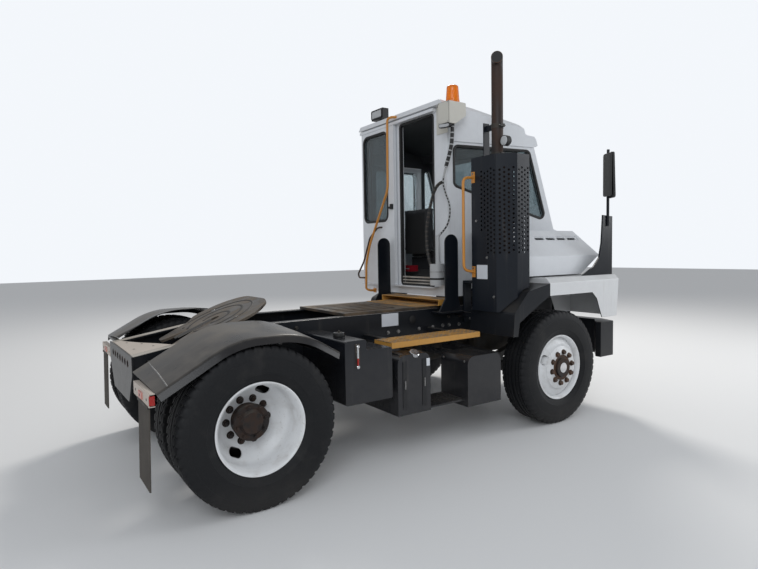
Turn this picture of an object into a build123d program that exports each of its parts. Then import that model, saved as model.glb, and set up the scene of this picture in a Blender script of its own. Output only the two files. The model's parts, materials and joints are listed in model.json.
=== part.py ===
from build123d import *
import os
from math import atan2, cos, hypot, radians, sin, tan

os.makedirs("parts", exist_ok=True)

# A terminal tractor: +X ahead, +Y to its left, +Z up, in millimetres. The origin is on the
# ground under the middle of its length and width.

# Wheels and overall length
WHEELBASE = 2946
FRONT_OVERHANG = 944
REAR_OVERHANG = 692
TYRE_R = 527
TYRE_W = 279
RIM_R = 300
RIM_W = 234
RIM_BORE_R = 278
DUAL_FACE_Y = 918
DUAL_OFFSET = 163
FRONT_WHEEL_Y = 1058

REAR_X = -(WHEELBASE + FRONT_OVERHANG - REAR_OVERHANG) / 2
FRONT_X = REAR_X + WHEELBASE
BUMPER_X = FRONT_X + FRONT_OVERHANG
AXLE_Z = TYRE_R

# Clearances
SEAT = 0.3
RUNNING = 0.05
SLIDING = 0.4
GAP = 8

# Frame rails
RAIL_Y = 432
RAIL_W = 85
RAIL_T = 12
RAIL_TOP = 1085
RAIL_H = 280
RAIL_BOTTOM = RAIL_TOP - RAIL_H
RAIL_INNER_Y = RAIL_Y - RAIL_W
TAIL_X = REAR_X - 601
TAIL_TOP = 940
RAMP_END_X = REAR_X + 300
RAIL_FRONT_X = BUMPER_X - 114
TAIL_PLATE_T = 12
TAIL_HOLE_R = 22

# Lift boom and fifth wheel
BOOM_X = REAR_X + 1000
BOOM_Z = 930
BOOM_PIN_R = 25
ARM_Y = 240
ARM_W = 70
SADDLE_X = REAR_X + 144
SADDLE_Z = 970
SADDLE_PIN_R = 24
LIFT_BASE_X = REAR_X + 560
LIFT_BASE_Z = 440
LIFT_EYE_X = REAR_X + 330
LIFT_EYE_Z = 860
LIFT_Y = 170
LIFT_PIN_R = 20
LIFT_EYE_PLAY = 9
SADDLE_TILT = 22.7
SADDLE_RISE = 150
SADDLE_L = 808
SADDLE_W = 914
SADDLE_T = 20
TAIL_HALF_W = SADDLE_W / 2 - 7

# Cab and hood, set from the front axle
CAB_REAR_X = FRONT_X - 636
CAB_LEFT_Y = 1130
CAB_RIGHT_Y = -350
CAB_TOE = 11.3
CAB_WALL = 45
CAB_BOTTOM = 1175
CAB_TOP = 3040
DECK_Z = 1375
NOSE_X = FRONT_X + 864
NOSE_Z = 1558
COWL_X = FRONT_X + 634
COWL_Z = 1840
BROW_X = FRONT_X + 364
BROW_Z = 2750
HOOD_Y = -1000
HOOD_TOP = 1812
HOOD_TOP_Y = -790
HOOD_REAR_X = FRONT_X - 290
HINGE_X = FRONT_X + 884
HINGE_Z = 1240
HINGE_PIN_R = 18
GLASS_T = 6

# Fenders
REAR_FENDER_Y = 1219
REAR_FENDER_INNER_Y = 620
FENDER_T = 6
FENDER_ARM_R = 22
FRONT_FENDER_Y = 1185
FRONT_FENDER_TOP = 1360
FRONT_FENDER_BEVEL = 45

KEPT = []


def keep(builder, label):
    """Label a finished piece and write its file."""
    builder.part.label = label
    export_step(builder.part, f"parts/{label}.step")
    KEPT.append(label)


def block(x, y, z, mode=Mode.ADD):
    """A block between two places on each axis, inside the part being built."""
    middle = [(side[0] + side[1]) / 2 for side in (x, y, z)]
    length, width, height = [abs(side[1] - side[0]) for side in (x, y, z)]
    with Locations(tuple(middle)):
        Box(length, width, height, mode=mode)


def rod(start, end, radius, mode=Mode.ADD):
    """A round bar from one point to another, inside the part being built."""
    way = Vector(*end) - Vector(*start)
    with Locations(Plane(origin=start, z_dir=way)):
        Cylinder(radius, way.length, align=(Align.CENTER, Align.CENTER, Align.MIN), mode=mode)


def side_face(y):
    """The upright plane at this y, seen from the right: its axes are X and Z."""
    return Plane.XZ.offset(-y)


def slab(outline, y, radius=0):
    """An outline in X and Z, as thick as the way between two places in y."""
    with BuildPart() as piece:
        with BuildSketch(side_face(max(y))):
            with BuildLine():
                Polyline(*outline, close=True)
            make_face()
            if radius:
                fillet(vertices(), radius)
        extrude(amount=max(y) - min(y))
    return piece.part


def cross_slab(outline, x, radius=0):
    """An outline in Y and Z, as thick as the way between two places in x."""
    with BuildPart() as piece:
        with BuildSketch(Plane.YZ.offset(min(x))):
            with BuildLine():
                Polyline(*outline, close=True)
            make_face()
            if radius:
                fillet(vertices(), radius)
        extrude(amount=max(x) - min(x))
    return piece.part


def bent_sheet(path, y, thickness, radius):
    """A sheet bent along a path in X and Z, as wide as the way between two places in y."""
    with BuildPart() as piece:
        with BuildSketch(side_face(max(y))):
            with BuildLine():
                FilletPolyline(*path, radius=radius)
            trace(line_width=thickness)
        extrude(amount=max(y) - min(y))
    return piece.part


def rolled_sheet(path, section, thickness, bend, roll):
    """A sheet with a cross-section in Y and height, drawn along a path in X and Z."""
    with BuildPart() as piece:
        with BuildLine(Plane.XZ) as line:
            FilletPolyline(*path, radius=bend)
        with BuildSketch(Plane(origin=line.line @ 0, x_dir=(0, 1, 0), z_dir=line.line % 0)):
            with BuildLine():
                FilletPolyline(*section, radius=roll)
            trace(line_width=thickness)
        sweep()
    return piece.part


def tube(path, tube_radius, bend):
    """A round bar along a bent path."""
    with BuildPart() as piece:
        with BuildLine() as line:
            FilletPolyline(*path, radius=bend)
        with BuildSketch(Plane(origin=line.line @ 0, z_dir=line.line % 0)):
            Circle(tube_radius)
        sweep()
    return piece.part


# Frame: two channel rails, a sloped tail, the tail plate with its row of holes, the lift
# cylinders' hangers and the boom's pivot shaft
rail_outline = [
    (TAIL_X, 715),
    (TAIL_X, TAIL_TOP),
    (RAMP_END_X, RAIL_TOP),
    (RAIL_FRONT_X, RAIL_TOP),
    (RAIL_FRONT_X, RAIL_BOTTOM),
    (REAR_X - 240, RAIL_BOTTOM),
]
HANGER_T = 22
with BuildPart() as frame:
    with BuildSketch(side_face(RAIL_Y)):
        with BuildLine():
            Polyline(*rail_outline, close=True)
        make_face()
    extrude(amount=RAIL_W)
    with BuildSketch(side_face(RAIL_Y - RAIL_T)):
        with BuildLine():
            Polyline(*rail_outline, close=True)
        make_face()
        offset(amount=-RAIL_T, kind=Kind.INTERSECTION)
    extrude(amount=RAIL_W, mode=Mode.SUBTRACT)
    hanger_y = (RAIL_INNER_Y - HANGER_T, RAIL_INNER_Y)
    add(slab([(LIFT_BASE_X - 90, RAIL_BOTTOM + 110), (LIFT_BASE_X + 130, RAIL_BOTTOM + 110),
              (LIFT_BASE_X + 90, LIFT_BASE_Z - 60), (LIFT_BASE_X - 50, LIFT_BASE_Z - 60)], hanger_y))
    mirror(about=Plane.XZ)
    for x, z, length, height in (
        (REAR_X + 1500, RAIL_BOTTOM + 90, 90, 120),
        (FRONT_X - 846, RAIL_BOTTOM + 90, 90, 120),
        (FRONT_X + 780, RAIL_BOTTOM + 60, 80, 100),
    ):
        block((x - length / 2, x + length / 2), (-RAIL_Y + RAIL_T, RAIL_Y - RAIL_T), (z, z + height))
    block((LIFT_BASE_X + 40, LIFT_BASE_X + 90), (-RAIL_INNER_Y, RAIL_INNER_Y),
          (LIFT_BASE_Z - 60, LIFT_BASE_Z - 20))
    rod((LIFT_BASE_X, -RAIL_INNER_Y, LIFT_BASE_Z), (LIFT_BASE_X, RAIL_INNER_Y, LIFT_BASE_Z), LIFT_PIN_R)
    rod((BOOM_X, -RAIL_Y, BOOM_Z), (BOOM_X, RAIL_Y, BOOM_Z), BOOM_PIN_R)
    tail = [(-TAIL_HALF_W, 945), (-TAIL_HALF_W, 820), (-300, 610), (300, 610), (TAIL_HALF_W, 820),
            (TAIL_HALF_W, 945)]
    add(cross_slab(tail, (TAIL_X - TAIL_PLATE_T, TAIL_X)))
    for step in range(-3, 4):
        rod((TAIL_X - 40, step * 100, 880), (TAIL_X + 5, step * 100, 880), TAIL_HOLE_R, Mode.SUBTRACT)
    for side in (1, -1):
        lug = [(RAIL_FRONT_X - 110, RAIL_TOP), (RAIL_FRONT_X, RAIL_TOP), (HINGE_X + 28, HINGE_Z - 20),
               (HINGE_X + 28, HINGE_Z + 20), (HINGE_X - 28, HINGE_Z + 20)]
        add(slab(lug, sorted((side * (RAIL_Y - 42), side * (RAIL_Y - 12)))))
    rod((HINGE_X, -(RAIL_Y - 12), HINGE_Z), (HINGE_X, RAIL_Y - 12, HINGE_Z), HINGE_PIN_R)
keep(frame, "frame")

# Pale wear plates on the tail: one on each rail's slope and one between the rails
ramp_slope = (RAIL_TOP - TAIL_TOP) / (RAMP_END_X - TAIL_X)
WEAR_T = 5
with BuildPart() as tail_ramps:
    ramp_end = (RAMP_END_X - 60, TAIL_TOP + ramp_slope * (RAMP_END_X - 60 - TAIL_X))
    ramp = [(TAIL_X, TAIL_TOP), ramp_end, (ramp_end[0], ramp_end[1] + WEAR_T), (TAIL_X, TAIL_TOP + WEAR_T)]
    add(slab(ramp, (RAIL_INNER_Y, RAIL_Y)))
    mirror(about=Plane.XZ)
    block((TAIL_X, TAIL_X + 280), (-RAIL_INNER_Y, RAIL_INNER_Y), (842, 854))
keep(tail_ramps, "tail_ramps")

# Deck grating between the cab and the boom, with long slots
GRATING_T = 25
GRATING_Z = RAIL_TOP + GRATING_T
with BuildPart() as deck_grating:
    block((BOOM_X + 75, CAB_REAR_X - 190), (-RAIL_Y, RAIL_Y), (RAIL_TOP, GRATING_Z))
    for place in (-300, -180, -60, 60, 180, 300):
        block((BOOM_X + 130, CAB_REAR_X - 620), (place - 22, place + 22), (RAIL_TOP - 5, GRATING_Z + 5),
              Mode.SUBTRACT)
keep(deck_grating, "deck_grating")

# Quarter fenders over the twin wheels: a crowned sheet with its outer edge rolled down, each
# carried by two arms from its rail
with BuildPart() as rear_fenders:
    fender_path = [(REAR_X - 620, 846), (REAR_X - 150, 1107), (REAR_X + 300, 1107), (REAR_X + 576, 945)]
    fender_section = [(REAR_FENDER_INNER_Y, 36), (900, 22), (REAR_FENDER_Y - 30, 0), (REAR_FENDER_Y - 4, -46)]
    add(rolled_sheet(fender_path, fender_section, FENDER_T, 600, 25))
    for x, low, high in (
        (REAR_X - 500, fender_path[0], fender_path[1]),
        (REAR_X + 500, fender_path[3], fender_path[2]),
    ):
        slope = (high[1] - low[1]) / (high[0] - low[0])
        z = low[1] + slope * (x - low[0]) - FENDER_ARM_R * hypot(1, slope)
        rod((x, RAIL_Y, z), (x, REAR_FENDER_Y - 40, z), FENDER_ARM_R)
    mirror(about=Plane.XZ)
keep(rear_fenders, "rear_fenders")

# Lamp bars behind the fenders, with two round lamps each
BAR_X = REAR_X - 660
with BuildPart() as tail_lamps:
    block((BAR_X, BAR_X + 38), (RAIL_Y + 18, 1170), (782, 846))
    block((BAR_X + 38, REAR_X - 601), (RAIL_Y + 18, RAIL_Y + 26), (782, 846))
    for place in (760, 880):
        rod((BAR_X, place, 815), (REAR_X - REAR_OVERHANG, place, 815), 30)
    mirror(about=Plane.XZ)
keep(tail_lamps, "tail_lamps")

# Rubber flaps hung behind the lamp bars
FLAP_T = 10
with BuildPart() as mud_flaps:
    block((BAR_X - FLAP_T, BAR_X), (940, 1150), (276, 775 + 60))
    mirror(about=Plane.XZ)
keep(mud_flaps, "mud_flaps")

# Hydraulic tank with its lower front half and filler cap
TANK_Y = -1100
with BuildPart() as hydraulic_tank:
    tank = [(REAR_X + 670, 530), (REAR_X + 670, 995), (REAR_X + 850, 995), (REAR_X + 850, 916),
            (REAR_X + 1080, 916), (REAR_X + 1080, 530)]
    add(slab(tank, (TANK_Y, -RAIL_Y), 14))
    rod((REAR_X + 752, -880, 990), (REAR_X + 752, -880, 1030), 42)
keep(hydraulic_tank, "hydraulic_tank")


def locker(x, z, y, radius):
    """A box with a rounded top, from the outer face in to the rail."""
    with BuildPart() as piece:
        block(x, y, z)
        top = piece.edges().filter_by(Axis.Y).group_by(Axis.Z)[-1]
        fillet(top, radius)
    return piece.part


# Fuel tank on the right, a battery box as large on the left, with a boot step and a locker ahead
# of each
LOCKER_R = 70
with BuildPart() as fuel_tank:
    add(locker((REAR_X + 1130, REAR_X + 1450), (370, 836), (TANK_Y, -RAIL_Y), LOCKER_R))
keep(fuel_tank, "fuel_tank")

LOCKER_X = (FRONT_X - 1096, FRONT_X - 706)
with BuildPart() as step_lockers:
    add(locker(LOCKER_X, (320, 742), (-TANK_Y - 340, -TANK_Y), LOCKER_R))
    block((REAR_X + 1450, LOCKER_X[0]), (-TANK_Y - 340, -TANK_Y - 40), (370, 385))
    for x in (LOCKER_X[0] + 50, LOCKER_X[1] - 90):
        block((x, x + 50), (RAIL_Y, -TANK_Y - 300), (700, 742))
        block((x, x + 50), (RAIL_Y, RAIL_Y + 12), (700, 860))
    mirror(about=Plane.XZ)
    add(locker((REAR_X + 1130, REAR_X + 1450), (370, 836), (RAIL_Y, -TANK_Y), LOCKER_R))
keep(step_lockers, "step_lockers")

# Two air reservoirs under the left rail
with BuildPart() as air_tanks:
    for y, z in ((590, 690), (860, 690)):
        rod((REAR_X + 690, y, z), (REAR_X + 1090, y, z), 115)
    fillet(edges().filter_by(GeomType.CIRCLE), 30)
    for x in (REAR_X + 780, REAR_X + 960):
        block((x, x + 40), (RAIL_Y, 930), (800, 816))
keep(air_tanks, "air_tanks")

# Orange treads: one along each side and a hollow one across the deck, open to the rear
STEP_T = 45
STEP_TOP = 923
DECK_STEP_X = (FRONT_X - 1186, FRONT_X - 836)
DECK_STEP_H = 125
with BuildPart() as steps:
    block((REAR_X + 1150, FRONT_X - 856), (760, 1000), (STEP_TOP - STEP_T, STEP_TOP))
    for x in (REAR_X + 1250, FRONT_X - 996):
        block((x, x + 50), (RAIL_Y, 760), (STEP_TOP - STEP_T, STEP_TOP - 8))
    mirror(about=Plane.XZ)
    block(DECK_STEP_X, (-470, 470), (GRATING_Z, GRATING_Z + DECK_STEP_H))
    block((DECK_STEP_X[0] - 5, DECK_STEP_X[0] + 240), (-440, 440), (GRATING_Z + 20, GRATING_Z + 85),
          Mode.SUBTRACT)
keep(steps, "steps")

# Black cab guides with round tops, on brackets from the rails
GUIDE_Y = 550
GUIDE_T = 14
GUIDE_X = CAB_REAR_X - 140
with BuildPart() as cab_guides:
    guide = [(GUIDE_X - 80, 1180), (GUIDE_X - 80, 1700), (GUIDE_X + 80, 1700), (GUIDE_X + 80, 1180),
             (GUIDE_X + 120, 1060), (GUIDE_X - 160, 1060)]
    add(slab(guide, (GUIDE_Y - GUIDE_T / 2, GUIDE_Y + GUIDE_T / 2)))
    rod((GUIDE_X, GUIDE_Y - GUIDE_T / 2, 1700), (GUIDE_X, GUIDE_Y + GUIDE_T / 2, 1700), 80)
    block((GUIDE_X - 160, GUIDE_X + 120), (RAIL_Y, GUIDE_Y + 40), (1046, 1060))
    mirror(about=Plane.XZ)
keep(cab_guides, "cab_guides")

# Exhaust: a bevelled guard cut away over the wheel guard, the muffler on a shelf inside it, and
# the stack, whose tip turns out to the right and the rear
GUARD_X = (CAB_REAR_X - 24, CAB_REAR_X + 330)
GUARD_Y = (-1120, -705)
GUARD_Z = (1075, 2465)
GUARD_T = 6
SHELF_Z = 1310
STACK_X = CAB_REAR_X + 165
STACK_Y = -850
STACK_R = 52
STACK_TOP = 3390
MUFFLER_R = 115
guard_plan = [(GUARD_X[0], GUARD_Y[1]), (GUARD_X[0], GUARD_Y[0] + 110), (CAB_REAR_X + 125, GUARD_Y[0]),
              (CAB_REAR_X + 281, GUARD_Y[0]), (GUARD_X[1], GUARD_Y[0] + 60), (GUARD_X[1], GUARD_Y[1])]
with BuildPart() as exhaust_guard:
    with BuildSketch(Plane.XY.offset(GUARD_Z[0])):
        with BuildLine():
            Polyline(*guard_plan, close=True)
        make_face()
        offset(amount=-GUARD_T, kind=Kind.INTERSECTION, mode=Mode.SUBTRACT)
    extrude(amount=GUARD_Z[1] - GUARD_Z[0])
    below = [(CAB_REAR_X + 8, 1000), (CAB_REAR_X + 8, 1095), (CAB_REAR_X + 25, 1102), (CAB_REAR_X + 190, 1270),
             (CAB_REAR_X + 390, 1310), (CAB_REAR_X + 390, 1000)]
    add(slab(below, (GUARD_Y[0] - 10, GUARD_Y[1] + 10)), mode=Mode.SUBTRACT)
    block((GUARD_X[0] + 3, GUARD_X[1] - 3), (GUARD_Y[0] + 120, GUARD_Y[1] - 3), (SHELF_Z, SHELF_Z + GUARD_T))
    block((STACK_X - 50, STACK_X + 50), (GUARD_Y[1] - GUARD_T, -RAIL_Y), (SHELF_Z, SHELF_Z + 24))
    block((STACK_X - 50, STACK_X + 50), (-RAIL_Y - 12, -RAIL_Y), (RAIL_BOTTOM + 120, SHELF_Z + 24))
    block((STACK_X - 35, STACK_X + 35), (GUARD_Y[1] - 12, GUARD_Y[1]), (GUARD_Z[1] - 60, 2800))
    block((STACK_X - 12, STACK_X + 12), (STACK_Y + STACK_R + SEAT, GUARD_Y[1]), (2725, 2775))
keep(exhaust_guard, "exhaust_guard")

with BuildPart() as exhaust_stack:
    rod((STACK_X, STACK_Y - 30, SHELF_Z + GUARD_T + SEAT), (STACK_X, STACK_Y - 30, GUARD_Z[1] - 60), MUFFLER_R)
    stack_path = [(STACK_X, STACK_Y, GUARD_Z[1] - 120), (STACK_X, STACK_Y, STACK_TOP - STACK_R),
                  (STACK_X - 66, STACK_Y - 62, STACK_TOP - STACK_R)]
    add(tube(stack_path, STACK_R, 70))
keep(exhaust_stack, "exhaust_stack")

# Round work lamp beside the stack, facing the rear
LAMP_AT = (STACK_Y - STACK_R - 62, 2600)
with BuildPart() as stack_lamp:
    rod((STACK_X - 36, *LAMP_AT), (STACK_X + 10, *LAMP_AT), 46)
    rod((STACK_X + 5, *LAMP_AT), (STACK_X + 26, *LAMP_AT), 34)
    block((STACK_X - 10, STACK_X + 10), (LAMP_AT[0], STACK_Y - STACK_R - SEAT), (LAMP_AT[1] - 16, LAMP_AT[1] + 16))
keep(stack_lamp, "stack_lamp")

# Orange hand rail on the back of the guard
with BuildPart() as guard_rail:
    out_x = GUARD_X[0] - 130
    guard_path = [(GUARD_X[0] - SEAT, -900, 2275), (out_x, -900, 2275), (out_x, -730, 2262), (out_x, -730, 1486),
                  (out_x, -900, 1450), (GUARD_X[0] - SEAT, -900, 1450)]
    add(tube(guard_path, 13, 40))
keep(guard_rail, "guard_rail")

# White front fenders: flat decks with a bevelled outer edge and an angular skirt ahead of the
# wheel, open underneath
FRONT_FENDER_REAR_X = FRONT_X - 150


def fender_block(outline, inset):
    """A front fender's outer shape, or the room under it."""
    bevel = FRONT_FENDER_Y + FRONT_FENDER_TOP - FRONT_FENDER_BEVEL - inset * 1.414
    out_y = FRONT_FENDER_Y + 20
    above = FRONT_FENDER_TOP + 20
    with BuildPart() as piece:
        add(slab(outline, (REAR_FENDER_INNER_Y + inset, FRONT_FENDER_Y - inset)))
        add(cross_slab([(out_y, bevel - out_y), (out_y, above), (bevel - above, above)],
                       (FRONT_FENDER_REAR_X - 10, NOSE_X + 80)), mode=Mode.SUBTRACT)
    return piece.part


with BuildPart() as front_fenders:
    skirt = [(FRONT_FENDER_REAR_X, FRONT_FENDER_TOP), (NOSE_X + 60, FRONT_FENDER_TOP), (NOSE_X + 46, 1200),
             (NOSE_X + 25, 942), (FRONT_X + 640, 942), (FRONT_X + 554, 1137), (FRONT_X + 480, 1200),
             (FRONT_FENDER_REAR_X, 1200)]
    add(fender_block(skirt, 0))
    hollow = [(FRONT_FENDER_REAR_X + 10, FRONT_FENDER_TOP - 10), (NOSE_X + 49, FRONT_FENDER_TOP - 10),
              (NOSE_X + 36, 1200), (NOSE_X + 14, 900), (FRONT_FENDER_REAR_X + 10, 900)]
    add(fender_block(hollow, 10), mode=Mode.SUBTRACT)
    block((FRONT_X + 300, FRONT_X + 360), (RAIL_Y, REAR_FENDER_INNER_Y + 4), (1210, 1270))
    block((FRONT_X + 300, FRONT_X + 360), (RAIL_Y, RAIL_Y + 12), (1000, 1270))
    mirror(about=Plane.XZ)
keep(front_fenders, "front_fenders")

# Black sheets behind the front wheels; the right one is taller and has a flange on its outer side
WHEEL_GUARD_Y = 645
with BuildPart() as wheel_guards:
    right_guard = [(FRONT_X - 151, 1310), (FRONT_X - 440, 1255), (FRONT_X - 616, 1075), (FRONT_X - 636, 870)]
    flange = [(FRONT_X - 577, 870), (FRONT_X - 557, 988), (FRONT_X - 367, 1094), (FRONT_X - 151, 1204)]
    add(bent_sheet(right_guard, (-FRONT_FENDER_Y, -WHEEL_GUARD_Y), FENDER_T, 40))
    add(slab(right_guard + flange, (-FRONT_FENDER_Y, FENDER_T - FRONT_FENDER_Y)))
    block((FRONT_X - 626, FRONT_X - 590), (-WHEEL_GUARD_Y - 20, -RAIL_Y), (1000, 1040))
    left_guard = [(FRONT_X - 152, 1255), (FRONT_X - 541, 1072), (FRONT_X - 580, 882)]
    add(bent_sheet(left_guard, (WHEEL_GUARD_Y, FRONT_FENDER_Y - 15), FENDER_T, 60))
    block((FRONT_X - 560, FRONT_X - 500), (RAIL_Y, WHEEL_GUARD_Y + 20), (1000, 1040))
keep(wheel_guards, "wheel_guards")

# Bumper: a deep channel with ends that wrap back, and its lamp pockets
BUMPER_Z = (540, 890)
BUMPER_Y = 1170
BUMPER_T = 12
BUMPER_BACK_X = BUMPER_X - 300
LAMP_Y = 860
LAMP_Z = 715
LAMP_W = 210
LAMP_H = 130
with BuildPart() as bumper:
    with BuildSketch(Plane.XY.offset(BUMPER_Z[0])):
        with BuildLine():
            Polyline((BUMPER_BACK_X, -BUMPER_Y), (BUMPER_X - 90, -BUMPER_Y), (BUMPER_X, -BUMPER_Y + 190),
                     (BUMPER_X, BUMPER_Y - 190), (BUMPER_X - 90, BUMPER_Y), (BUMPER_BACK_X, BUMPER_Y))
            Polyline((BUMPER_BACK_X, BUMPER_Y), (BUMPER_BACK_X, BUMPER_Y - 60), (RAIL_FRONT_X, BUMPER_Y - 200),
                     (RAIL_FRONT_X, -BUMPER_Y + 200), (BUMPER_BACK_X, -BUMPER_Y + 60), (BUMPER_BACK_X, -BUMPER_Y))
        make_face()
    extrude(amount=BUMPER_Z[1] - BUMPER_Z[0])
    for side in (1, -1):
        block((BUMPER_X - 20, BUMPER_X + 5), (side * LAMP_Y - LAMP_W / 2, side * LAMP_Y + LAMP_W / 2),
              (LAMP_Z - LAMP_H / 2, LAMP_Z + LAMP_H / 2), Mode.SUBTRACT)
keep(bumper, "bumper")

with BuildPart() as headlamps:
    for side in (1, -1):
        block((BUMPER_X - 20, BUMPER_X - 3), (side * LAMP_Y - LAMP_W / 2 + SEAT, side * LAMP_Y + LAMP_W / 2 - SEAT),
              (LAMP_Z - LAMP_H / 2 + SEAT, LAMP_Z + LAMP_H / 2 - SEAT))
keep(headlamps, "headlamps")

# Grille with upright slots ahead of the radiator
with BuildPart() as front_grille:
    block((BUMPER_X - 26, BUMPER_X - 14), (-600, 600), (BUMPER_Z[1], 1225))
    for step in range(-6, 7):
        block((BUMPER_X - 30, BUMPER_X - 10), (step * 84 - 24, step * 84 + 24), (930, 1185), Mode.SUBTRACT)
    for side in (1, -1):
        block((RAIL_FRONT_X, BUMPER_X - 26), (side * 560 - 15, side * 560 + 15), (BUMPER_Z[1], 930))
keep(front_grille, "front_grille")

with BuildPart() as radiator:
    block((RAIL_FRONT_X - 90, RAIL_FRONT_X - 20), (-RAIL_INNER_Y + GAP, RAIL_INNER_Y - GAP), (RAIL_BOTTOM + 160, 1200))
    block((RAIL_FRONT_X - 80, RAIL_FRONT_X - 40), (-RAIL_INNER_Y - 20, RAIL_INNER_Y + 20), (RAIL_TOP, RAIL_TOP + 30))
keep(radiator, "radiator")

# Engine and gearbox as one plain mass between the rails
with BuildPart() as engine:
    block((FRONT_X - 246, FRONT_X + 610), (-300, 300), (560, 1150))
    rod((FRONT_X - 246, 0, 720), (FRONT_X - 840, 0, 660), 190)
    block((FRONT_X - 60, FRONT_X + 20), (-RAIL_INNER_Y - RAIL_W + RAIL_T, RAIL_INNER_Y + RAIL_W - RAIL_T),
          (RAIL_BOTTOM + 60, RAIL_BOTTOM + 130))
keep(engine, "engine")

# Mirror posts on the fenders, as tall tapered fins, each with a long mirror head
FIN_Y = 1100
FIN_T = 16
MIRROR_Y = FIN_Y + 14
ROD_R = 14
with BuildPart() as mirror_post:
    fin = [(NOSE_X + 58, FRONT_FENDER_TOP), (NOSE_X + 58, 1950), (NOSE_X - 100, 1960), (NOSE_X - 122, 1680),
           (NOSE_X - 160, 1535), (NOSE_X - 260, 1440), (NOSE_X - 440, FRONT_FENDER_TOP)]
    add(slab(fin, (-FIN_Y - FIN_T / 2, -FIN_Y + FIN_T / 2)))
    rod((NOSE_X - 30, -MIRROR_Y, 1850), (NOSE_X - 30, -MIRROR_Y, 2615), ROD_R)
keep(mirror_post, "mirror_post")

# Two mirror cases, one on each side of the rod, turned toward the driver
MIRROR_TURN = radians(58)
MIRROR_T = 22
with BuildPart() as mirror_head:
    for side, outline in ((1, [(-115, 2145), (-115, 2570), (35, 2570), (35, 2145)]),
                          (-1, [(-95, 2130), (-65, 2585), (-5, 2590), (50, 2130)])):
        out = side * (ROD_R + SEAT)
        case = Plane(origin=(NOSE_X - 30 - sin(MIRROR_TURN) * out, -MIRROR_Y + cos(MIRROR_TURN) * out, 0),
                     x_dir=(cos(MIRROR_TURN), sin(MIRROR_TURN), 0),
                     z_dir=(sin(MIRROR_TURN), -cos(MIRROR_TURN), 0))
        with BuildSketch(case):
            with BuildLine():
                Polyline(*outline, close=True)
            make_face()
            fillet(vertices(), 24)
        extrude(amount=-side * MIRROR_T)
keep(mirror_head, "mirror_head")

# Front axle: a dropped beam on two leaf packs, with an eye for each kingpin
KINGPIN_Y = 925
KINGPIN_R = 22
EYE_R = 48
SPRING_Y = RAIL_Y - 42
with BuildPart() as front_axle:
    beam = [(-KINGPIN_Y, 585), (-KINGPIN_Y, 470), (-850, 470), (-690, 385), (690, 385), (850, 470),
            (KINGPIN_Y, 470), (KINGPIN_Y, 585), (840, 585), (690, 470), (-690, 470), (-840, 585)]
    add(cross_slab(beam, (FRONT_X - 45, FRONT_X + 45)))
    for side in (1, -1):
        rod((FRONT_X, side * KINGPIN_Y, 470), (FRONT_X, side * KINGPIN_Y, 585), EYE_R)
    for side in (1, -1):
        rod((FRONT_X, side * KINGPIN_Y, 460), (FRONT_X, side * KINGPIN_Y, 595), KINGPIN_R + RUNNING, Mode.SUBTRACT)
        leaf = [(FRONT_X - 620, 700), (FRONT_X, 500), (FRONT_X + 620, 700), (FRONT_X + 620, 730), (FRONT_X, 560),
                (FRONT_X - 620, 730)]
        add(slab(leaf, (side * SPRING_Y - 38, side * SPRING_Y + 38)))
        block((FRONT_X - 70, FRONT_X + 70), (side * SPRING_Y - 38, side * SPRING_Y + 38), (460, 505))
        for x in (FRONT_X - 620, FRONT_X + 590):
            block((x, x + 30), (side * SPRING_Y - 30, side * SPRING_Y + 30), (690, RAIL_BOTTOM))
keep(front_axle, "front_axle")

# Rear axle: tube, banjo and nose, carried under the rails on two blocks, and the drive shaft
HOUSING_END_Y = 640
SPINDLE_R = 60
SHAFT_START = Vector(REAR_X + 325.6, 0, AXLE_Z)
SHAFT_END = Vector(FRONT_X - 846, 0, 658)
with BuildPart() as rear_axle:
    rod((REAR_X, -HOUSING_END_Y, AXLE_Z), (REAR_X, HOUSING_END_Y, AXLE_Z), 78)
    rod((REAR_X, -(HOUSING_END_Y + 60), AXLE_Z), (REAR_X, HOUSING_END_Y + 60, AXLE_Z), SPINDLE_R)
    for side in (1, -1):
        rod((REAR_X, side * (HOUSING_END_Y - 12), AXLE_Z), (REAR_X, side * HOUSING_END_Y, AXLE_Z), 200)
        block((REAR_X - 90, REAR_X + 90), (side * RAIL_INNER_Y, side * RAIL_Y), (AXLE_Z + 60, RAIL_BOTTOM))
    rod((REAR_X - 130, 0, AXLE_Z), (REAR_X + 130, 0, AXLE_Z), 185)
    rod((REAR_X + 120, 0, AXLE_Z), (REAR_X + 320, 0, AXLE_Z), 105)
    fillet(edges().filter_by(GeomType.CIRCLE).filter_by(lambda edge: abs(edge.radius - 185) < 1), 60)
    rod(tuple(SHAFT_START), tuple(SHAFT_END), 42)
    rod(tuple(SHAFT_START), tuple(SHAFT_START + (SHAFT_END - SHAFT_START) * 0.06), 70)
keep(rear_axle, "rear_axle")


def tyre(center, radius, width):
    """A plain tyre body, its axle along Y."""
    half = width / 2
    bead = RIM_W / 2 - 12.5
    with BuildPart() as piece:
        with BuildSketch(Plane(origin=center)):
            with BuildLine():
                Polyline((RIM_BORE_R + 8 + SEAT, -bead), (RIM_R + 6, -bead), (RIM_R + 14, -half + 22),
                         (RIM_R + 95, -half), (radius - 45, -half + 10), (radius - 6, -half + 32), (radius, 0),
                         (radius - 6, half - 32), (radius - 45, half - 10), (RIM_R + 95, half),
                         (RIM_R + 14, half - 22), (RIM_R + 6, bead), (RIM_BORE_R + 8 + SEAT, bead), close=True)
            make_face()
        revolve(axis=Axis(center, (0, 1, 0)))
    return piece.part


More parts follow.
